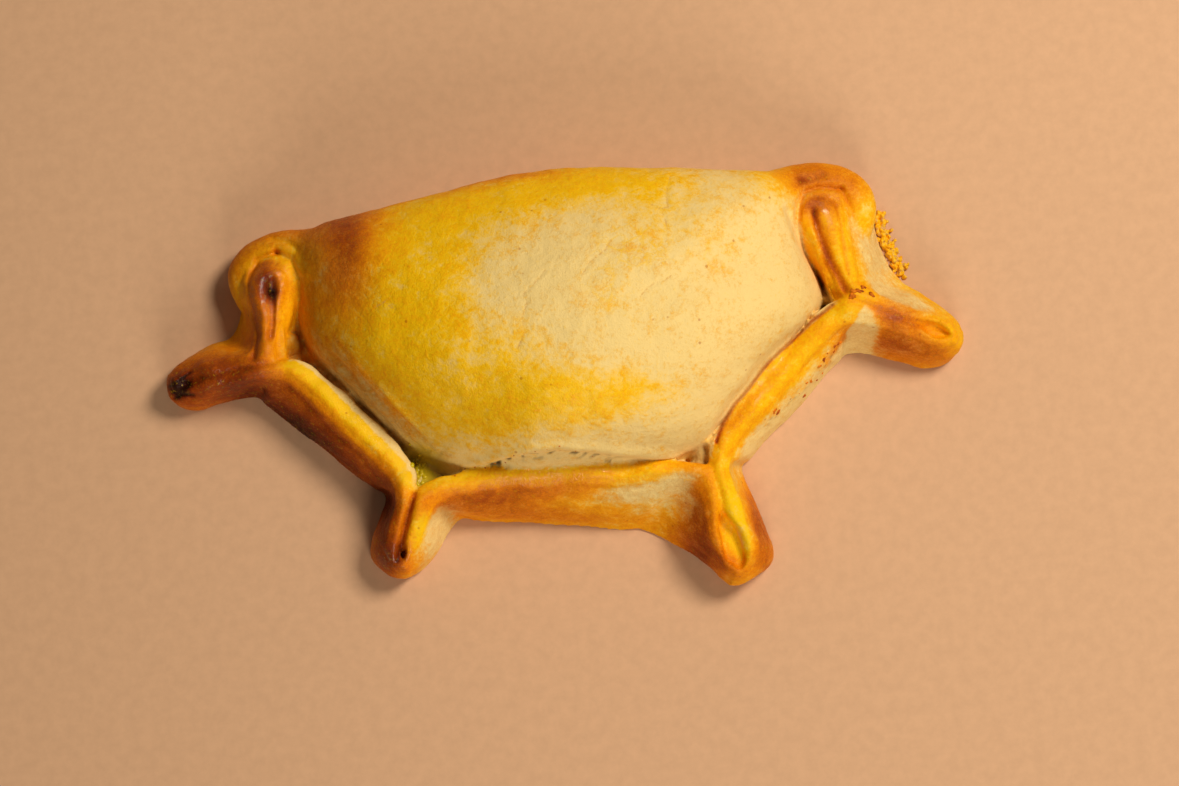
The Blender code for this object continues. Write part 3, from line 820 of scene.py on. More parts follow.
# A flake: its corners, how ragged and narrow it is, and the size and height of its rings
FLAKE_SIDES = 9
FLAKE_RAGGEDNESS = (0.45, 1.0)
FLAKE_NARROWNESS = 0.6
FLAKE_RINGS = ((0.75, -0.5), (1.0, 0.1), (0.7, 0.8))
FLAKE_UNEVENNESS = 0.15
FLAKE_THICKNESS = 0.35
FLAKE_UPRIGHTNESS = 0.6
FLAKE_FLOOR = 0.05

# Bubbles of seeped filling, in millimetres
BUBBLE_SEED = 3
BUBBLE_COUNT = 40
BUBBLES_AT = (-31.0, -13.6)
BUBBLES_BELOW = 12.5
BUBBLE_SPREAD = (1.1, 1.6)
BUBBLE_RADIUS = (0.2, 0.5)
BUBBLE_FLATNESS = 0.8
# A height above all of the crust
OVERHEAD = 60.0


@dataclass
class Tuck:
    """A line pressed into the dough: its plan path, half width and depth, and how much browner it is
    painted, partly browning and partly painted shade in the line.
    """

    path: tuple
    width: float
    depth: float
    toast: float


TUCKS = (
    Tuck(((-60.2, 11.9), (-58.9, 16.5), (-59.7, 23.6), (-59.6, 27.5), (-57.6, 31.6), (-53.9, 32.6)),
         0.6, 1.0, 0.10),
    Tuck(((-52.9, 12.8), (-51.5, 15.8), (-49.8, 22.5), (-49.5, 26.5), (-51.1, 30.6), (-53.9, 32.6)),
         0.7, 1.1, 0.05),
    Tuck(((-55.5, 27.0), (-55.2, 24.4)), 1.7, 0.6, 0.42),
    Tuck(((-55.3, 24.4), (-55.2, 19.6), (-56.3, 15.6)), 0.75, 0.9, 0.24),
    Tuck(((54.2, 9.7), (51.7, 15.5), (49.9, 20.5), (48.7, 25.5), (49.0, 29.2), (50.6, 31.4), (53.7, 32.2),
          (58.3, 31.6)), 0.6, 1.3, 0.08),
    Tuck(((59.5, 12.0), (59.5, 19.0), (59.7, 27.0), (58.6, 31.4)), 0.55, 0.7, 0.04),
    Tuck(((52.1, 27.4), (52.7, 22.0), (54.3, 16.3), (56.2, 11.0)), 0.8, 0.9, 0.46),
    Tuck(((56.9, 28.1), (56.9, 21.1), (57.2, 14.1)), 0.4, 0.4, 0.12),
    Tuck(((-32.1, -18.4), (-34.2, -23.0), (-36.1, -27.7), (-37.2, -30.6)), 0.5, 1.0, 0.30),
    Tuck(((57.2, 9.0), (61.0, 7.2), (67.0, 4.2), (72.0, 1.2)), 0.7, 0.25, 0.06),
    Tuck(((-57.6, 10.4), (-63.5, 10.2), (-69.0, 9.4), (-73.5, 8.6)), 0.6, 0.3, 0.04),
    Tuck(((-74.4, 8.6), (-76.6, 7.8)), 0.9, 1.1, 0.40),
    Tuck(((-73.3, 11.0), (-75.9, 9.4), (-78.3, 9.0)), 0.4, 0.5, 0.25),
    Tuck(((-73.3, 6.6), (-75.9, 7.0), (-77.9, 6.4)), 0.4, 0.5, 0.25),
    Tuck(((-54.5, 35.6), (-51.5, 34.6), (-49.6, 32.4)), 0.7, 0.5, -0.10),
    Tuck(((50.6, 34.4), (52.6, 33.8), (55.0, 34.6)), 1.3, 0.5, 0.12),
    Tuck(RIGHT_SEAM, 0.35, 0.9, 0.55),
    Tuck(((29.4, -18.4), (35.2, -12.4), (42.6, -6.0), (50.6, 0.8), (55.0, 4.0)), 0.5, 0.35, 0.08),
    Tuck(((-54.2, 5.8), (-50.1, 0.9), (-46.2, -4.6), (-41.3, -10.2), (-38.8, -14.4)), 0.5, 0.3, 0.12),
)
# Where the filled body sinks beside the rim: its plan path, half width and depth
VALLEYS = (
    (((-50.4, 13.4), (-47.0, 9.5), (-42.6, 4.1), (-38.4, -2.0), (-34.8, -8.0), (-32.6, -13.0)), 1.2, 0.8),
    (((-33.6, -9.8), (-31.0, -13.2), (-28.2, -13.6)), 2.4, 1.6),
    (((27.0, -14.8), (28.6, -11.6), (31.6, -8.0), (35.4, -4.5), (39.5, -0.5), (43.8, 2.9), (48.6, 6.3),
      (52.9, 9.0)), 0.8, 2.4),
    (((-50.7, 15.0), (-49.1, 20.0), (-47.9, 25.0)), 1.2, 0.8),
    (((53.1, 11.4), (50.9, 17.0), (48.3, 23.0), (47.1, 27.6)), 0.9, 1.6),
)


# Where paint begins and ends: the low and high ends of ramps, along the rim's section, in
# millimetres, or by how far the skin faces up
BAND_START = (SHOULDER - 0.4, SHOULDER + 0.1)
BAND_END = EDGE - 0.6
CUT_START = CREST + 0.2
CUT_SEEN = (0.5, 1.0)
OUTER_START = (0.2, 0.9)
OUTER_END = (-7.5, -5.5)
FACING_UP = (0.1, 0.5)
RUN_OVER_START = (0.1, 0.5)
RUN_OVER_END = (-5.0, -4.0)
RUN_OVER_LENGTH = (-48.0, -43.0)
FOLD_SEEN = (0.4, 0.9)
FOLD_FADE = (-10.0, 35.0)
SHOULDER_LINE = (SHOULDER - 0.1, 0.4)
CROWN_RISE = (CROWN - 0.4, CROWN + 0.4)
# Painted shade: where the darkening lies along each wrinkle's furrow
WRINKLE_SHADE_LINE = (-0.8, 0.45)
GLAZE_ABOVE = 5.0
# How strongly each part is washed or baked, and how strongly shade is painted into the creases
GOLD_BUILD_UP = 1.5
RIM_WASH = 1.05
RUN_OVER_WASH = 0.9
RIM_TOAST = 0.07
SHOULDER_TOAST = 0.16
CROWN_PALENESS = 0.2
CUT_PALENESS = 0.8
OUTER_PALENESS = 0.7
# Painted shade: the floors of the creases and their lumps are darkened and tinted olive
CREASE_SHADE_DARKEN = 0.12
CREASE_SHADE_TINT = 0.9
# Painted shade in the furrows of the wrinkles
WRINKLE_FURROW_SHADE = 0.14
EDGE_CHAR = 0.35
# Char along the split and on the outer edge: middle and width of the line, then noise and its ramp
SPLIT_CHAR = (-1.6, 0.8)
SPLIT_CHAR_SPECKS = (1.5, 4)
SPLIT_CHAR_RAMP = (0.15, 0.6)
SPLIT_CHAR_ENDS = ((-24.0, -16.0), (-14.0, -4.0))
EDGE_CHAR_LINE = (0.0, 0.35)
EDGE_CHAR_SPECKS = (1.4, 8)
EDGE_CHAR_RAMP = (0.2, 0.6)
# Ridges and furrows along lines: middle, width and height
WRINKLE_RIDGE = (0.0, 0.6, 0.4)
WRINKLE_FURROW = (-0.8, 0.5, 0.45)
SPLIT_RIDGE = (0.0, 0.8, 0.6)
SPLIT_FURROW = (-1.7, 0.8, 0.8)
# The wrinkles come and go along y, each in its own step, and fade out towards the first ear
WRINKLE_PULSE = 0.35
WRINKLE_STEP = 2.1
WRINKLE_PULSE_RAMP = (-1.2, 0.8)
WRINKLE_END = (-13.0, -8.0)
SPLIT_ENDS = ((-26.0, -18.0), (-24.0, -18.0))
CRACK_DEPTH = 0.12
CRACK_WIDTH = 0.3
SHOULDER_BEAD = 0.15
SHOULDER_BEAD_AT = (SHOULDER + 0.15, 0.25)
# Swells of the skin: size in millimetres, seed, height on the body and on the rim
SWELLS = ((17.0, 1, 0.35, 0.0), (6.0, 2, 0.14, 0.2), (2.6, 3, 0.05, 0.1))
# Pebbles all over it: size and seed, and their height
PEBBLES = (1.3, 6)
PEBBLE_HEIGHT = 0.035
# Between which heights the relief and the pressed lines set in
RELIEF_FROM = (0.3, 1.5)
SUNK_FROM = (4.0, 7.0)


def wrinkles():
    """The paths of the wrinkles by the left wall."""
    near, far = np.array(WRINKLE_NEAR), np.array(WRINKLE_FAR)
    return [near + (far - near) * share for share in np.linspace(0.0, 1.0, WRINKLE_COUNT)]


def parts_of(skin, dough):
    """For each point of the skin how far it belongs to each part of the crust, and how it lies there."""
    tree = KDTree(dough.count)
    for index, point in enumerate(np.vstack(dough.points)):
        tree.insert(Vector(point), index)
    tree.balance()
    nearest = np.array([tree.find(Vector(p))[1] for p in skin.points])
    kinds = np.concatenate(dough.kinds)[nearest]
    place, edge = np.vstack(dough.places)[nearest].T
    on_rim = kinds == RIM
    rim = skin.smooth(on_rim.astype(float), 2)
    groove = skin.smooth((kinds == INFILL).astype(float), 2)
    burnt = beside(skin.points, BURNT_EDGE)
    return {
        "rim": rim,
        "groove": groove,
        "body": np.clip(1 - rim - groove, 0, 1),
        "creased": skin.smooth(np.isin(kinds, (BASE, CREASE)).astype(float), 2),
        "band": skin.smooth(on_rim * ramp(place, *BAND_START) * (place < BAND_END), 2),
        "cut": skin.smooth(on_rim * (place >= CUT_START) * ramp(edge, *CUT_SEEN), 1),
        "place": skin.smooth(place, 2),
        "edge": edge,
        "burnt": burnt,
        "outer": ramp(-burnt, *OUTER_START) * ramp(burnt, *OUTER_END),
        "split": beside(skin.points, SPLIT),
        "facing": ramp(skin.normals()[:, 2], *FACING_UP),
    }


def wash_on(skin, parts):
    """How much egg wash each point has; some has run over the seam beside the right wall."""
    points, rim = skin.points, parts["rim"]
    washed = parts["body"] * (1 - np.exp(-GOLD_BUILD_UP * np.maximum(blobs(points, GOLD_ON_BODY), 0)))
    bare_band = blobs(points, BARE_ON_BAND)
    bare = blobs(points, BARE_ON_RIM) * (1 - parts["band"]) + bare_band
    washed += rim * np.clip(RIM_WASH - bare, 0, 1) + parts["groove"] * np.clip(1 - bare_band, 0, 1)
    washed = skin.smooth(washed * (1 - parts["cut"]) * (1 - parts["outer"] * rim), 1)
    seam = beside(points, RIGHT_SEAM)
    run_over = ramp(-seam, *RUN_OVER_START) * ramp(seam, *RUN_OVER_END)
    return np.maximum(washed, RUN_OVER_WASH * run_over * ramp(-points[:, 0], *RUN_OVER_LENGTH))


def toast_on(skin, parts):
    """How brown each point is baked, apart from the lines in the dough."""
    points, rim, place = skin.points, parts["rim"], parts["place"]
    toasted = parts["body"] * blobs(points, TOAST_ON_BODY)
    toasted += (rim + parts["groove"]) * (RIM_TOAST + blobs(points, TOAST_ON_RIM))
    fold = rim * ramp(parts["edge"], *FOLD_SEEN) * ramp(-points[:, 0], *FOLD_FADE)
    toasted += SHOULDER_TOAST * fold * hill(place, *SHOULDER_LINE)
    toasted -= CROWN_PALENESS * fold * ramp(place, *CROWN_RISE)
    toasted *= (1 - CUT_PALENESS * parts["cut"]) * (1 - OUTER_PALENESS * parts["outer"] * rim)
    return skin.smooth(toasted, 2)


def char_on(skin, parts):
    """Burnt specks by the split and on the right wall's outer edge."""
    across, rim = skin.points[:, 0], parts["rim"]
    ends = ramp(across, *SPLIT_CHAR_ENDS[0]) * ramp(-across, *SPLIT_CHAR_ENDS[1])
    specks = ramp(skin.noise(*SPLIT_CHAR_SPECKS), *SPLIT_CHAR_RAMP)
    char = hill(parts["split"], *SPLIT_CHAR) * specks * (1 - rim) * ends * parts["facing"]
    specks = ramp(skin.noise(*EDGE_CHAR_SPECKS), *EDGE_CHAR_RAMP)
    return np.clip(char + EDGE_CHAR * hill(parts["burnt"], *EDGE_CHAR_LINE) * specks * rim, 0, 1)


def paint(skin, dough):
    """Works out for each point of the skin what part of the crust it is on and how it is baked."""
    parts = parts_of(skin, dough)
    points, body = skin.points, parts["body"]
    toasted = toast_on(skin, parts)
    sunk = np.zeros(len(points))
    # The pressed lines sink the skin and are painted darker: partly browning, partly painted shade in the
    # line
    for tuck in TUCKS:
        pressed = hill(beside(points, tuck.path), 0.0, tuck.width) * parts["facing"]
        sunk += pressed * tuck.depth
        toasted += pressed * tuck.toast
    for valley, width, depth in VALLEYS:
        sunk += hill(beside(points, valley), 0.0, width) * depth * body
    # Painted shade: each wrinkle's furrow is darkened
    for path in wrinkles():
        toasted += WRINKLE_FURROW_SHADE * hill(beside(points, path), *WRINKLE_SHADE_LINE) * body
    # Painted shade: the floors of the creases are darkened
    toasted += parts["creased"] * CREASE_SHADE_DARKEN
    return {
        **parts,
        "sunk": sunk,
        "toast": toasted,
        "wash": wash_on(skin, parts),
        "char": char_on(skin, parts),
        # painted shade: an olive tint in the valleys by the rim and on the crease floors
        "olive": body * blobs(points, SHADE_ON_BODY) + CREASE_SHADE_TINT * parts["creased"],
        "grease": np.clip(blobs(points, GREASE), 0, 1) * (1 - parts["rim"]),
        "glaze": np.clip(blobs(points, GLAZE), 0, 1) * (points[:, 2] > GLAZE_ABOVE),
        "crackle": blobs(points, CRACKLE) * body,
        "crack": np.min([np.abs(beside(points, path)) for path in CRACKS], axis=0),
    }


def bank(away, ridge, furrow):
    """A ridge and a furrow along a line, by the distance from it."""
    return hill(away, *ridge[:2]) * ridge[2] - hill(away, *furrow[:2]) * furrow[2]


def relief(skin, fields):
    """Raises and sinks the skin: swells, pebbles, wrinkles, split, cracks and the lines pressed in."""
    normals, points = skin.normals(), skin.points
    body, split = fields["body"], fields["split"]
    lift = skin.noise(*PEBBLES) * PEBBLE_HEIGHT
    for size, seed, on_body, on_rim in SWELLS:
        lift += skin.noise(size, seed) * (on_body * body + on_rim * fields["rim"])
    for number, path in enumerate(wrinkles()):
        pulse = np.sin(points[:, 1] * WRINKLE_PULSE + number * WRINKLE_STEP)
        fade = ramp(pulse, *WRINKLE_PULSE_RAMP) * ramp(-points[:, 1], *WRINKLE_END)
        lift += bank(beside(points, path), WRINKLE_RIDGE, WRINKLE_FURROW) * body * fade
    along_split = ramp(points[:, 0], *SPLIT_ENDS[0]) * ramp(-points[:, 0], *SPLIT_ENDS[1])
    lift += bank(split, SPLIT_RIDGE, SPLIT_FURROW) * body * along_split
    lift -= CRACK_DEPTH * hill(fields["crack"], 0.0, CRACK_WIDTH) * body
    lift += SHOULDER_BEAD * hill(fields["place"], *SHOULDER_BEAD_AT) * fields["band"]
    lift *= ramp(points[:, 2], *RELIEF_FROM)
    skin.points = points + normals * lift[:, None]
    sunk = fields["sunk"] * ramp(points[:, 2], *SUNK_FROM)
    skin.points[:, 2] = np.maximum(skin.points[:, 2] - sunk, 0.0)


class Nodes:
    """Short calls for making and joining shader nodes."""

    def __init__(self, name):
        self.material = bpy.data.materials.new(name)
        self.material.use_nodes = True
        self.tree = self.material.node_tree
        self.shader = self.tree.nodes["Principled BSDF"]
        self.where = self.tree.nodes.new("ShaderNodeTexCoord").outputs["Object"]

    def link(self, source, target):
        """Joins a socket to another, or gives it a plain value."""
        if isinstance(source, bpy.types.NodeSocket):
            self.tree.links.new(source, target)
        else:
            target.default_value = source

    def math(self, operation, first, second, clamp=False):
        """One step of arithmetic."""
        node = self.tree.nodes.new("ShaderNodeMath")
        node.operation, node.use_clamp = operation, clamp
        self.link(first, node.inputs[0])
        self.link(second, node.inputs[1])
        return node.outputs[0]

    def add(self, *values):
        """The sum of any number of values."""
        total = values[0]
        for value in values[1:]:
            total = self.math("ADD", total, value)
        return total

    def times(self, first, second):
        """The product of two values."""
        return self.math("MULTIPLY", first, second)

    def spread(self, value, amount):
        """Noise from 0 to 1 made into a swing of the given amount either way."""
        return self.times(self.math("SUBTRACT", value, 0.5), 2 * amount)

    def mix(self, share, first, second):
        """The first colour with a share of the second laid over it."""
        node = self.tree.nodes.new("ShaderNodeMix")
        node.data_type = "RGBA"
        self.link(share, node.inputs[0])
        self.link(first, node.inputs[6])
        self.link(second, node.inputs[7])
        return node.outputs[2]

    def ramp(self, value, stops):
        """A colour looked up along the given stops."""
        node = self.tree.nodes.new("ShaderNodeValToRGB")
        self.link(value, node.inputs[0])
        elements = node.color_ramp.elements
        while len(elements) < len(stops):
            elements.new(0.5)
        for element, (position, colour) in zip(elements, stops):
            element.position, element.color = position, colour
        return node.outputs[0]

    def between(self, value, low, high):
        """0 below low, 1 above high, smooth between."""
        node = self.tree.nodes.new("ShaderNodeMapRange")
        node.interpolation_type = "SMOOTHSTEP"
        self.link(value, node.inputs[0])
        node.inputs[1].default_value, node.inputs[2].default_value = low, high
        return node.outputs[0]

    def field(self, name):
        """A value that was worked out for each point of the skin."""
        node = self.tree.nodes.new("ShaderNodeAttribute")
        node.attribute_type, node.attribute_name = "GEOMETRY", name
        return node.outputs["Fac"]

    def noise(self, size, detail, roughness):
        """Noise whose largest features are of the given size in millimetres."""
        node = self.tree.nodes.new("ShaderNodeTexNoise")
        self.link(self.where, node.inputs["Vector"])
        node.inputs["Scale"].default_value = 1.0 / (size * MM)
        node.inputs["Detail"].default_value = detail
        node.inputs["Roughness"].default_value = roughness
        return node.outputs["Fac"]

    def cells(self, size, warp, amount, width):
        """Edges of cells made crooked by a warp: size and amount in millimetres, width a share of size."""
        node = self.tree.nodes.new("ShaderNodeTexVoronoi")
        node.feature = "DISTANCE_TO_EDGE"
        node.inputs["Scale"].default_value = 1.0 / (size * MM)
        moved = self.tree.nodes.new("ShaderNodeVectorMath")
        moved.operation = "ADD"
        self.link(self.where, moved.inputs[0])
        self.link(self.spread(warp, amount * MM), moved.inputs[1])
        self.link(moved.outputs[0], node.inputs["Vector"])
        return self.math("SUBTRACT", 1.0, self.between(node.outputs["Distance"], 0.0, width))

    def pores(self, size, radius, rarity):
        """Dots in some of the cells of the given size in millimetres, their radius a share of it."""
        node = self.tree.nodes.new("ShaderNodeTexVoronoi")
        node.inputs["Scale"].default_value = 1.0 / (size * MM)
        self.link(self.where, node.inputs["Vector"])
        dots = self.math("SUBTRACT", 1.0, self.between(node.outputs["Distance"], radius * 0.5, radius))
        split = self.tree.nodes.new("ShaderNodeSeparateColor")
        self.link(node.outputs["Color"], split.inputs[0])
        return self.times(dots, self.math("GREATER_THAN", split.outputs[0], rarity))

    def bump(self, height, distance, strength):
        """A bump of the given distance in millimetres on the shader and on its coat."""
        node = self.tree.nodes.new("ShaderNodeBump")
        node.inputs["Strength"].default_value = strength
        node.inputs["Distance"].default_value = distance * MM
        self.link(height, node.inputs["Height"])
        self.link(node.outputs[0], self.shader.inputs["Normal"])
        self.link(node.outputs[0], self.shader.inputs["Coat Normal"])

    def surface(self, roughness, specular):
        """How rough the surface is and how much it reflects."""
        self.shader.inputs["Roughness"].default_value = roughness
        self.shader.inputs["Specular IOR Level"].default_value = specular

    def colour(self, value):
        """Gives the shader its colour."""
        self.link(value, self.shader.inputs["Base Color"])


def linear(red, green, blue):
    """A colour given as it looks on screen, from 0 to 255, as the shader's linear colour."""
    return tuple(c / 255 / 12.92 if c / 255 < 0.04045 else ((c / 255 + 0.055) / 1.055) ** 2.4
                 for c in (red, green, blue)) + (1.0,)


# Stops of the colours along a ramp, by the names that the settings give them
BARE_STOPS = ((0.0, "cream"), (0.3, "tan"), (0.7, "russet"), (1.0, "brown"))
WASHED_STOPS = ((0.0, "gold"), (0.16, "amber"), (0.34, "orange"), (0.56, "russet"), (0.78, "brown"),
                (1.0, "char"))
LACE_STOPS = ((0.38, "tan"), (0.5, "gold"), (0.7, "amber"))
CRUMB_STOPS = ((0.3, "brown"), (0.45, "russet"), (0.6, "orange"))
# How far the noises, from the broad one to finer ones, move the wash and the toasting either way
WASH_SWINGS = (0.5, 0.75, 0.4)
TOAST_SWINGS = (0.12, 0.18, 0.18, 0.12)
WASH_BASE = 0.03
WASH_RAMP = (0.05, 0.95)
# Between which values of their noise, or of the distance from a crack, the layers of colour show
VEINS_SEEN = (0.42, 0.62)
DOTS_SEEN = (0.56, 0.7)
CRACKS_SEEN = (0.0, 0.26)
CRACK_GAPS = (0.35, 0.5)
CRACK_SWING = 0.35
# How strongly each layer of colour covers what lies under it
VEINS_COVER = 0.6
DOTS_COVER = 0.3
CRACKS_COVER = 0.7
PORES_COVER = 0.5
SHADE_COVER = 0.45
GREASE_COVER = 0.75
# Roughness of bare dough, what the wash takes off it, and how far the mottling moves it
ROUGHNESS = 0.66
WASH_POLISH = 0.18
ROUGHNESS_SWING = 0.12
# The wet coat: where its drops show, how far the fine noise moves them, and the coat on grease
DROPS_SEEN = (0.4, 0.55)
DROP_SWING = 0.5
GREASE_COAT = 0.8
# How much of the mottling, the fine noise and the grit stands out as pebbles
PEBBLE_SHARES = (0.8, 0.5, 0.22)


def stops(colours, places):
    """The stops of a ramp with the colours that the settings hold."""
    return [(place, getattr(colours, name)) for place, name in places]


def crust_material(colours):
    """Dough that runs from bare cream to egg-washed gold, and each from pale to burnt."""
    nodes = Nodes("baked_crust")
    broad = nodes.noise(size=9.0, detail=5.0, roughness=0.6)
    mottle = nodes.noise(size=2.2, detail=5.0, roughness=0.7)
    fine = nodes.noise(size=0.7, detail=4.0, roughness=0.65)
    grit = nodes.noise(size=0.28, detail=2.0, roughness=0.5)
    grains = (broad, mottle, fine, grit)
    swings = [nodes.spread(grain, amount) for grain, amount in zip(grains, WASH_SWINGS)]
    wash = nodes.between(nodes.add(nodes.field("wash"), WASH_BASE, *swings), *WASH_RAMP)
    swings = [nodes.spread(grain, amount) for grain, amount in zip(grains, TOAST_SWINGS)]
    toast = nodes.add(nodes.field("toast"), *swings)
    bare = nodes.ramp(toast, stops(colours, BARE_STOPS))
    colour = nodes.mix(wash, bare, nodes.ramp(toast, stops(colours, WASHED_STOPS)))
    veins = nodes.cells(size=3.4, warp=mottle, amount=2.5, width=0.10)
    veins = nodes.times(nodes.times(veins, nodes.field("crackle")), nodes.between(broad, *VEINS_SEEN))
    colour = nodes.mix(nodes.times(veins, VEINS_COVER), colour, colours.gold)
    dots = nodes.between(fine, *DOTS_SEEN)
    colour = nodes.mix(nodes.times(dots, DOTS_COVER), colour, colours.gold)
    line = nodes.add(nodes.field("crack"), nodes.spread(mottle, CRACK_SWING))
    line = nodes.math("SUBTRACT", 1.0, nodes.between(line, *CRACKS_SEEN))
    line = nodes.times(line, nodes.between(fine, *CRACK_GAPS))
    colour = nodes.mix(nodes.times(line, CRACKS_COVER), colour, colours.tan)
    pores = nodes.pores(size=2.9, radius=0.13, rarity=0.84)
    colour = nodes.mix(nodes.times(pores, PORES_COVER), colour, colours.russet)
    # Painted shade: the olive tint laid over the valleys and creases
    olive = nodes.math("MULTIPLY", nodes.field("olive"), SHADE_COVER, True)
    colour = nodes.mix(olive, colour, colours.olive)
    # The seeped filling, in its colour made brighter as painted light
    colour = nodes.mix(nodes.times(nodes.field("grease"), GREASE_COVER), colour, colours.grease)
    nodes.colour(nodes.mix(nodes.field("char"), colour, colours.char))
    shine_crust(nodes, wash, mottle, fine)
    pebbles = [nodes.times(grain, share) for grain, share in zip(grains[1:], PEBBLE_SHARES)]
    nodes.bump(nodes.add(*pebbles), distance=0.3, strength=0.9)
    return nodes.material


def shine_crust(nodes, wash, mottle, fine):
    """Dull dough, a little smoother where it is washed, with a wet coat in drops where it is glazed."""
    rough = nodes.math("SUBTRACT", ROUGHNESS, nodes.times(wash, WASH_POLISH))
    rough = nodes.math("ADD", rough, nodes.spread(mottle, ROUGHNESS_SWING), True)
    nodes.link(rough, nodes.shader.inputs["Roughness"])
    drops = nodes.between(nodes.add(mottle, nodes.spread(fine, DROP_SWING)), *DROPS_SEEN)
    glaze = nodes.times(nodes.field("glaze"), drops)
    wet = nodes.math("ADD", glaze, nodes.times(nodes.field("grease"), GREASE_COAT), True)
    nodes.link(wet, nodes.shader.inputs["Coat Weight"])
    nodes.shader.inputs["Specular IOR Level"].default_value = 0.1
    nodes.shader.inputs["Coat Roughness"].default_value = 0.1
    nodes.shader.inputs["Coat IOR"].default_value = 1.7


def lace_material(colours):
    """Crisp baked crumb in tan, gold and amber."""
    nodes = Nodes("baked_lace")
    grain = nodes.noise(size=1.0, detail=4.0, roughness=0.6)
    nodes.colour(nodes.ramp(grain, stops(colours, LACE_STOPS)))
    nodes.surface(roughness=0.5, specular=0.3)
    nodes.bump(grain, distance=0.15, strength=0.6)
    return nodes.material


def crumb_material(colours):
    """Toasted flakes and burnt specks."""
    nodes = Nodes("crust_crumbs")
    grain = nodes.noise(size=2.0, detail=3.0, roughness=0.6)
    nodes.colour(nodes.ramp(grain, stops(colours, CRUMB_STOPS)))
    nodes.surface(roughness=0.7, specular=0.2)
    return nodes.material


def grease_material(colours):
    """The moist bubbles of seeped filling, in its colour made brighter as painted light."""
    nodes = Nodes("grease_bubbles")
    nodes.colour(colours.grease)
    nodes.surface(roughness=0.2, specular=0.5)
    return nodes.material


def place_piece(context, name, mesh, material):
    """Puts a finished mesh in the scene as a piece that stands for part of the crust."""
    mesh.name = name
    mesh.materials.clear()
    mesh.materials.append(material)
    mesh.shade_smooth()
    piece = bpy.data.objects.new(name, mesh)
    context.scene.collection.objects.link(piece)
    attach(piece, "root")
    return piece


def to_frame(points):
    """Plan millimetres of the drawing as metres in the part's frame."""
    return (np.asarray(points) - (*PLAN_MIDDLE, 0.0)) * MM


def surface_at(context, x, y):
    """The crust's point and normal above a plan position, in millimetres of the drawing."""
    start = Vector(to_frame((x, y, OVERHEAD)))
    _, point, normal, _ = bpy.data.objects["baked_crust"].ray_cast(start, Vector((0.0, 0.0, -1.0)))
    return np.array(point) / MM + (*PLAN_MIDDLE, 0.0), np.array(normal)


def scattered(rng, x, y, spread, sizes):
    """A crumb's plan position, near the given one, and its radius."""
    return x + rng.normal() * spread[0], y + rng.normal() * spread[1], rng.uniform(*sizes)


def add_flake(dough, rng, point, normal, size):
    """A ragged crumb lying on the crust."""
    side = unit(np.cross(normal, rng.normal(size=3)))
    other = np.cross(normal, side)
    reach = size * rng.uniform(*FLAKE_RAGGEDNESS, FLAKE_SIDES)
    rings = []
    for scale, height in FLAKE_RINGS:
        ring = []
        for j in range(FLAKE_SIDES):
            angle = 2 * math.pi * j / FLAKE_SIDES
            out = side * math.cos(angle) + other * math.sin(angle) * FLAKE_NARROWNESS
            rise = size * FLAKE_THICKNESS * (height + rng.uniform(-FLAKE_UNEVENNESS, FLAKE_UNEVENNESS))
            ring.append(point + normal * rise + out * reach[j] * scale)
        rings.append(ring)
    dough.add_rings(rings, BODY)


def mesh_of(dough, name):
    """The pieces of dough as one mesh in the part's frame, not fused."""
    mesh = bpy.data.meshes.new(name)
    mesh.from_pydata([tuple(p) for p in to_frame(np.vstack(dough.points))], [], dough.faces)
    return mesh


def shade(name, description, red, green, blue):
    """A setting that holds a colour, given as it looks on screen."""
    return bpy.props.FloatVectorProperty(name=name, description=description,
                                         default=linear(red, green, blue), size=4, subtype="COLOR")


class EmpanadaSettings(bpy.types.PropertyGroup):
    """Sizes, colours and lights that a user may change"""

    voxel: bpy.props.FloatProperty(name="Skin detail", description="Size of the facets, in millimetres",
                                   default=0.42, min=0.3, max=2.0)
    cream: shade("Bare dough", "Colour of unwashed dough", 243, 209, 132)
    tan: shade("Toasted dough", "Colour of unwashed dough, toasted", 214, 160, 84)
    gold: shade("Egg wash", "Colour of egg-washed dough", 250, 194, 8)
    amber: shade("Amber", "Colour of lightly browned wash", 246, 162, 5)
    orange: shade("Orange", "Colour of well browned wash", 224, 124, 4)
    russet: shade("Russet", "Colour of dark browned wash", 172, 76, 5)
    brown: shade("Brown", "Colour of dark baked edges", 118, 40, 5)
    char: shade("Char", "Colour of burnt specks", 46, 14, 4)
    # Painted shade: the colour laid on the dough in the valleys and creases
    olive: shade("Olive", "Colour of the shaded dough in the creases", 150, 108, 20)
    # Seeped filling, its colour made brighter as painted light on the shaded wet spot
    grease: shade("Grease", "Colour where filling has seeped out", 205, 180, 14)
    table: shade("Table", "Colour of the table", 219, 172, 132)
    key_power: bpy.props.FloatProperty(name="Key light", description="Power of the light from the right",
                                       default=3.3, min=0.0, unit="POWER")
    fill_power: bpy.props.FloatProperty(name="Fill light", description="Power of the light by the rim",
                                        default=2.2, min=0.0, unit="POWER")
    sky: bpy.props.FloatProperty(name="Room light", description="Strength of the light from all round",
                                 default=0.1, min=0.0)


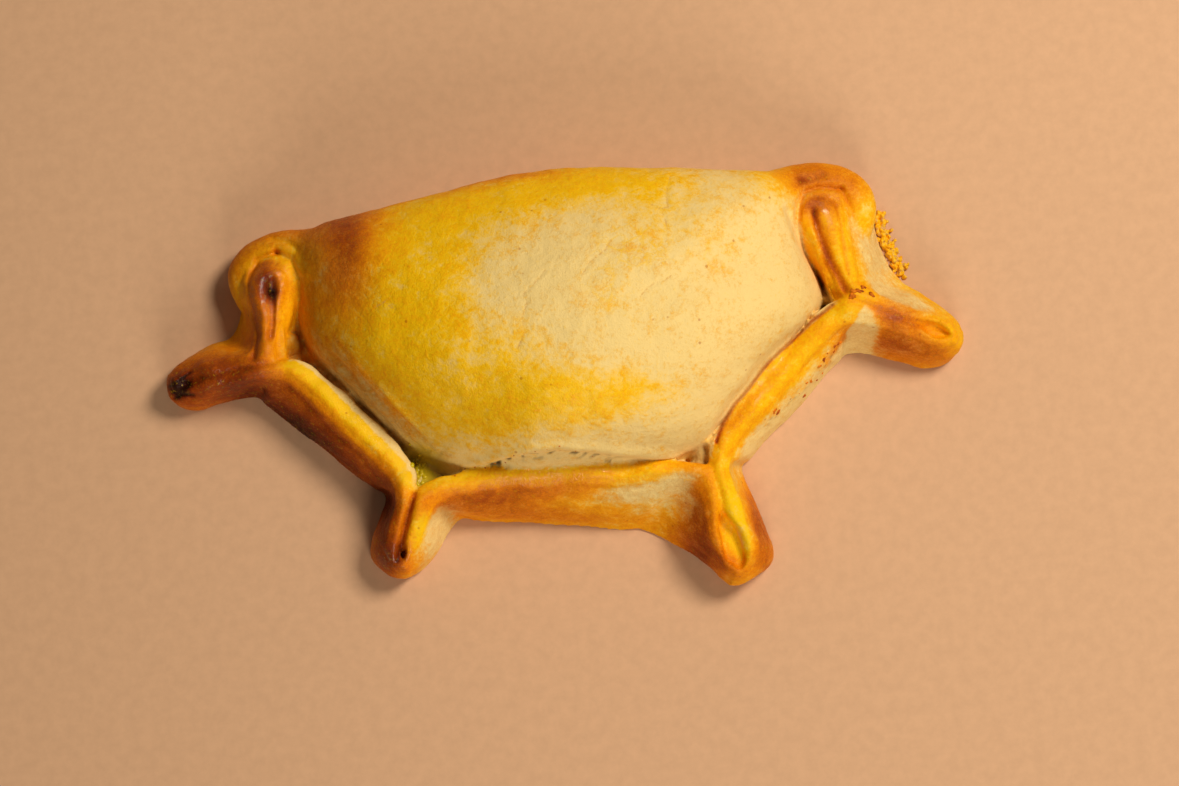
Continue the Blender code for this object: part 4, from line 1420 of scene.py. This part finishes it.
class OBJECT_OT_empanada_crust(bpy.types.Operator):
    """Makes the whole crust: body, folded rim, ears and straps, in one skin"""

    bl_idname = "object.empanada_crust"
    bl_label = "Crust"

    def execute(self, context):
        settings = context.scene.empanada
        dough = all_dough()
        skin = Skin(*fused(dough, settings.voxel))
        skin.points = skin.smooth(skin.points, 2)
        fields = paint(skin, dough)
        joins = np.clip(blobs(skin.points, JOINS), 0, 1) * ramp(skin.points[:, 2], *JOINS_FROM)
        skin.points = skin.smooth(skin.points, JOIN_PASSES, JOIN_SHARE * joins[:, None])
        relief(skin, fields)
        mesh = skin.finished()
        for name in ("wash", "toast", "olive", "grease", "crack", "char", "glaze", "crackle"):
            layer = mesh.attributes.new(name, "FLOAT", "POINT")
            layer.data.foreach_set("value", fields[name])
        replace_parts(place_piece(context, "baked_crust", mesh, crust_material(settings)), "crust")
        context.view_layer.update()
        return {"FINISHED"}


class OBJECT_OT_empanada_lace(bpy.types.Operator):
    """Makes the lace of baked crumb beside the right end of the rim"""

    bl_idname = "object.empanada_lace"
    bl_label = "Baked lace"

    def execute(self, context):
        rng = np.random.default_rng(LACE_SEED)
        dough = Dough()
        for x, y in smooth_curve(LACE_PATH, LACE_STEPS):
            for _ in range(LACE_GRAINS):
                off = rng.normal(size=2) * LACE_SPREAD
                radius, top = rng.uniform(*GRAIN_RADIUS), rng.uniform(*GRAIN_TOP)
                squash, turn = rng.uniform(*GRAIN_SQUASH), rng.uniform(*GRAIN_TURN)
                add_lump(dough, x + off[0], y + off[1], radius, top, BODY, 0.0, squash, turn)
        skin = Skin(*fused(dough, LACE_VOXEL))
        skin.points = skin.smooth(skin.points, 2)
        lift = skin.noise(*LACE_ROUGHNESS) * LACE_RELIEF * ramp(skin.points[:, 2], *LACE_RELIEF_RAMP)
        skin.points += skin.normals() * lift[:, None]
        skin.points[:, 2] = np.maximum(skin.points[:, 2], 0.0)
        place_piece(context, "baked_lace", skin.finished(), lace_material(context.scene.empanada))
        return {"FINISHED"}


class OBJECT_OT_empanada_crumbs(bpy.types.Operator):
    """Scatters the toasted flakes and burnt specks that cling to the rim and the split"""

    bl_idname = "object.empanada_crumbs"
    bl_label = "Crumbs"

    def execute(self, context):
        rng = np.random.default_rng(CRUMB_SEED)
        dough = Dough()
        spots = [scattered(rng, x, y, EDGE_SPREAD, EDGE_SIZES)
                 for x, y in smooth_curve(BURNT_EDGE, EDGE_STEPS) if rng.random() < EDGE_SHARE]
        spots += [scattered(rng, x, y, ROOT_SPREAD, ROOT_SIZES)
                  for x, y in ROOT_FLAKES for _ in range(ROOT_COUNT)]
        spots += [(x, y - SPLIT_OFFSET + rng.normal() * SPLIT_SPREAD, rng.uniform(*SPLIT_SIZES))
                  for x, y in smooth_curve(CRUMBED_SPLIT, SPLIT_STEPS)[::SPLIT_SKIP]]
        for x, y, size in spots:
            point, normal = surface_at(context, x, y)
            add_flake(dough, rng, point, unit(normal + (0, 0, FLAKE_UPRIGHTNESS)), size)
        for points in dough.points:
            points[:, 2] = np.maximum(points[:, 2], FLAKE_FLOOR)
        material = crumb_material(context.scene.empanada)
        place_piece(context, "crust_crumbs", mesh_of(dough, "crust_crumbs"), material)
        return {"FINISHED"}


class OBJECT_OT_empanada_bubbles(bpy.types.Operator):
    """Sets the moist bubbles of seeped filling in the crease at the second ear"""

    bl_idname = "object.empanada_bubbles"
    bl_label = "Grease bubbles"

    def execute(self, context):
        rng = np.random.default_rng(BUBBLE_SEED)
        dough = Dough()
        for _ in range(BUBBLE_COUNT):
            x, y = np.array(BUBBLES_AT) + rng.normal(size=2) * BUBBLE_SPREAD
            point, _ = surface_at(context, x, y)
            if point[2] > BUBBLES_BELOW:
                continue
            radius = rng.uniform(*BUBBLE_RADIUS)
            top = radius * BUBBLE_FLATNESS
            add_lump(dough, x, y, radius, top, BODY, -top)
            dough.points[-1][:, 2] += point[2]
        place_piece(context, "grease_bubbles", mesh_of(dough, "grease_bubbles"),
                    grease_material(context.scene.empanada))
        return {"FINISHED"}


class OBJECT_OT_empanada_stage(bpy.types.Operator):
    """Sets the table, the soft light and the camera"""

    bl_idname = "object.empanada_stage"
    bl_label = "Table, light and camera"

    def execute(self, context):
        settings = context.scene.empanada
        set_table(context, settings)
        set_light(context, settings)
        set_camera(context)
        return {"FINISHED"}


# The view, in millimetres, with the empanada turned by ROLL in the picture and seen TILT off upright
ROLL = math.radians(7.0)
TILT = math.radians(4.0)
LENS = 85.0
SENSOR = 36.0
DISTANCE = 556.75
AIM = (5.1, -4.3)
UPWARD = 10.0
# Nearest and farthest seen, in metres
CLIP = (0.01, 10.0)
SHIFT = (-0.3 - PLAN_MIDDLE[0], 3.0 - PLAN_MIDDLE[1])
WARM = (1.0, 0.95, 0.86)
ROOM = (1.0, 0.93, 0.82, 1.0)
# The table: half its width in metres, how much darker its dark grain is, and where the grains part
TABLE_REACH = 1.2
TABLE_DARKER = 0.93
TABLE_GRAIN = (0.35, 0.65)


def in_picture(right, up, height):
    """A place given along the picture's right and up directions, in the part's frame, in metres."""
    c, s = math.cos(ROLL), math.sin(ROLL)
    return Vector((right * c + up * s + SHIFT[0], -right * s + up * c + SHIFT[1], height)) * MM


def set_camera(context):
    """The camera above the empanada, leaning a little towards the rim."""
    data = bpy.data.cameras.new("view")
    data.lens, data.sensor_width = LENS, SENSOR
    data.clip_start, data.clip_end = CLIP
    camera = bpy.data.objects.new("view", data)
    target = in_picture(AIM[0], AIM[1], 0.0)
    place = in_picture(AIM[0], AIM[1] - DISTANCE * math.sin(TILT), DISTANCE * math.cos(TILT))
    forward = (target - place).normalized()
    right = forward.cross(in_picture(AIM[0], AIM[1] + UPWARD, 0.0) - target).normalized()
    turn = Matrix((right, right.cross(forward), -forward)).transposed().to_4x4()
    camera.matrix_world = Matrix.Translation(place) @ turn
    context.scene.collection.objects.link(camera)
    context.scene.camera = camera


def set_lamp(context, name, azimuth, elevation, distance, size, power, colour):
    """A round soft light, its azimuth from the picture's right, distance in mm and size in metres."""
    data = bpy.data.lights.new(name, "AREA")
    data.shape = "DISK"
    data.size, data.energy, data.color = size, power, colour
    lamp = bpy.data.objects.new(name, data)
    turn, rise = math.radians(azimuth), math.radians(elevation)
    flat = distance * math.cos(rise)
    lamp.location = in_picture(flat * math.cos(turn), flat * math.sin(turn), distance * math.sin(rise))
    lamp.rotation_euler = (in_picture(0.0, 0.0, 0.0) - lamp.location).to_track_quat("-Z", "Y").to_euler()
    context.scene.collection.objects.link(lamp)


def set_light(context, settings):
    """A high light from the right, a lower one by the rim, and a dim warm room."""
    set_lamp(context, "key", azimuth=39.0, elevation=53.0, distance=640.0, size=0.2,
             power=settings.key_power, colour=WARM)
    set_lamp(context, "fill", azimuth=-76.0, elevation=30.0, distance=700.0, size=0.35,
             power=settings.fill_power, colour=WARM)
    world = bpy.data.worlds.new("studio")
    world.use_nodes = True
    background = world.node_tree.nodes["Background"]
    background.inputs[0].default_value = ROOM
    background.inputs[1].default_value = settings.sky
    context.scene.world = world
    context.scene.view_settings.view_transform = "Standard"


def set_table(context, settings):
    """A flat table under the empanada, with a faint grain."""
    mesh = bpy.data.meshes.new("table")
    corners = [(-1, -1), (1, -1), (1, 1), (-1, 1)]
    mesh.from_pydata([(x * TABLE_REACH, y * TABLE_REACH, 0) for x, y in corners], [], [(0, 1, 2, 3)])
    nodes = Nodes("table")
    grain = nodes.noise(size=2.5, detail=5.0, roughness=0.6)
    darker = tuple(c * TABLE_DARKER for c in settings.table[:3]) + (1.0,)
    nodes.colour(nodes.ramp(grain, list(zip(TABLE_GRAIN, (darker, settings.table)))))
    nodes.surface(roughness=0.85, specular=0.1)
    mesh.materials.append(nodes.material)
    table = bpy.data.objects.new("table", mesh)
    context.scene.collection.objects.link(table)


class VIEW3D_PT_empanada(bpy.types.Panel):
    """Lists the pieces of the empanada and their settings"""

    bl_idname = "VIEW3D_PT_empanada"
    bl_label = "Empanada"
    bl_space_type = "VIEW_3D"
    bl_region_type = "UI"
    bl_category = "Empanada"

    def draw(self, context):
        for operator in OPERATORS:
            self.layout.operator(operator.bl_idname)
        for name in EmpanadaSettings.__annotations__:
            self.layout.prop(context.scene.empanada, name)


OPERATORS = (OBJECT_OT_empanada_stage, OBJECT_OT_empanada_crust, OBJECT_OT_empanada_lace,
             OBJECT_OT_empanada_crumbs, OBJECT_OT_empanada_bubbles)
CLASSES = (EmpanadaSettings, *OPERATORS, VIEW3D_PT_empanada)


def register():
    for cls in CLASSES:
        bpy.utils.register_class(cls)
    bpy.types.Scene.empanada = bpy.props.PointerProperty(type=EmpanadaSettings)


def unregister():
    del bpy.types.Scene.empanada
    for cls in reversed(CLASSES):
        bpy.utils.unregister_class(cls)


def main():
    register()
    for operator in OPERATORS:
        group, name = operator.bl_idname.split(".")
        getattr(getattr(bpy.ops, group), name)()


if __name__ == "__main__":
    main()
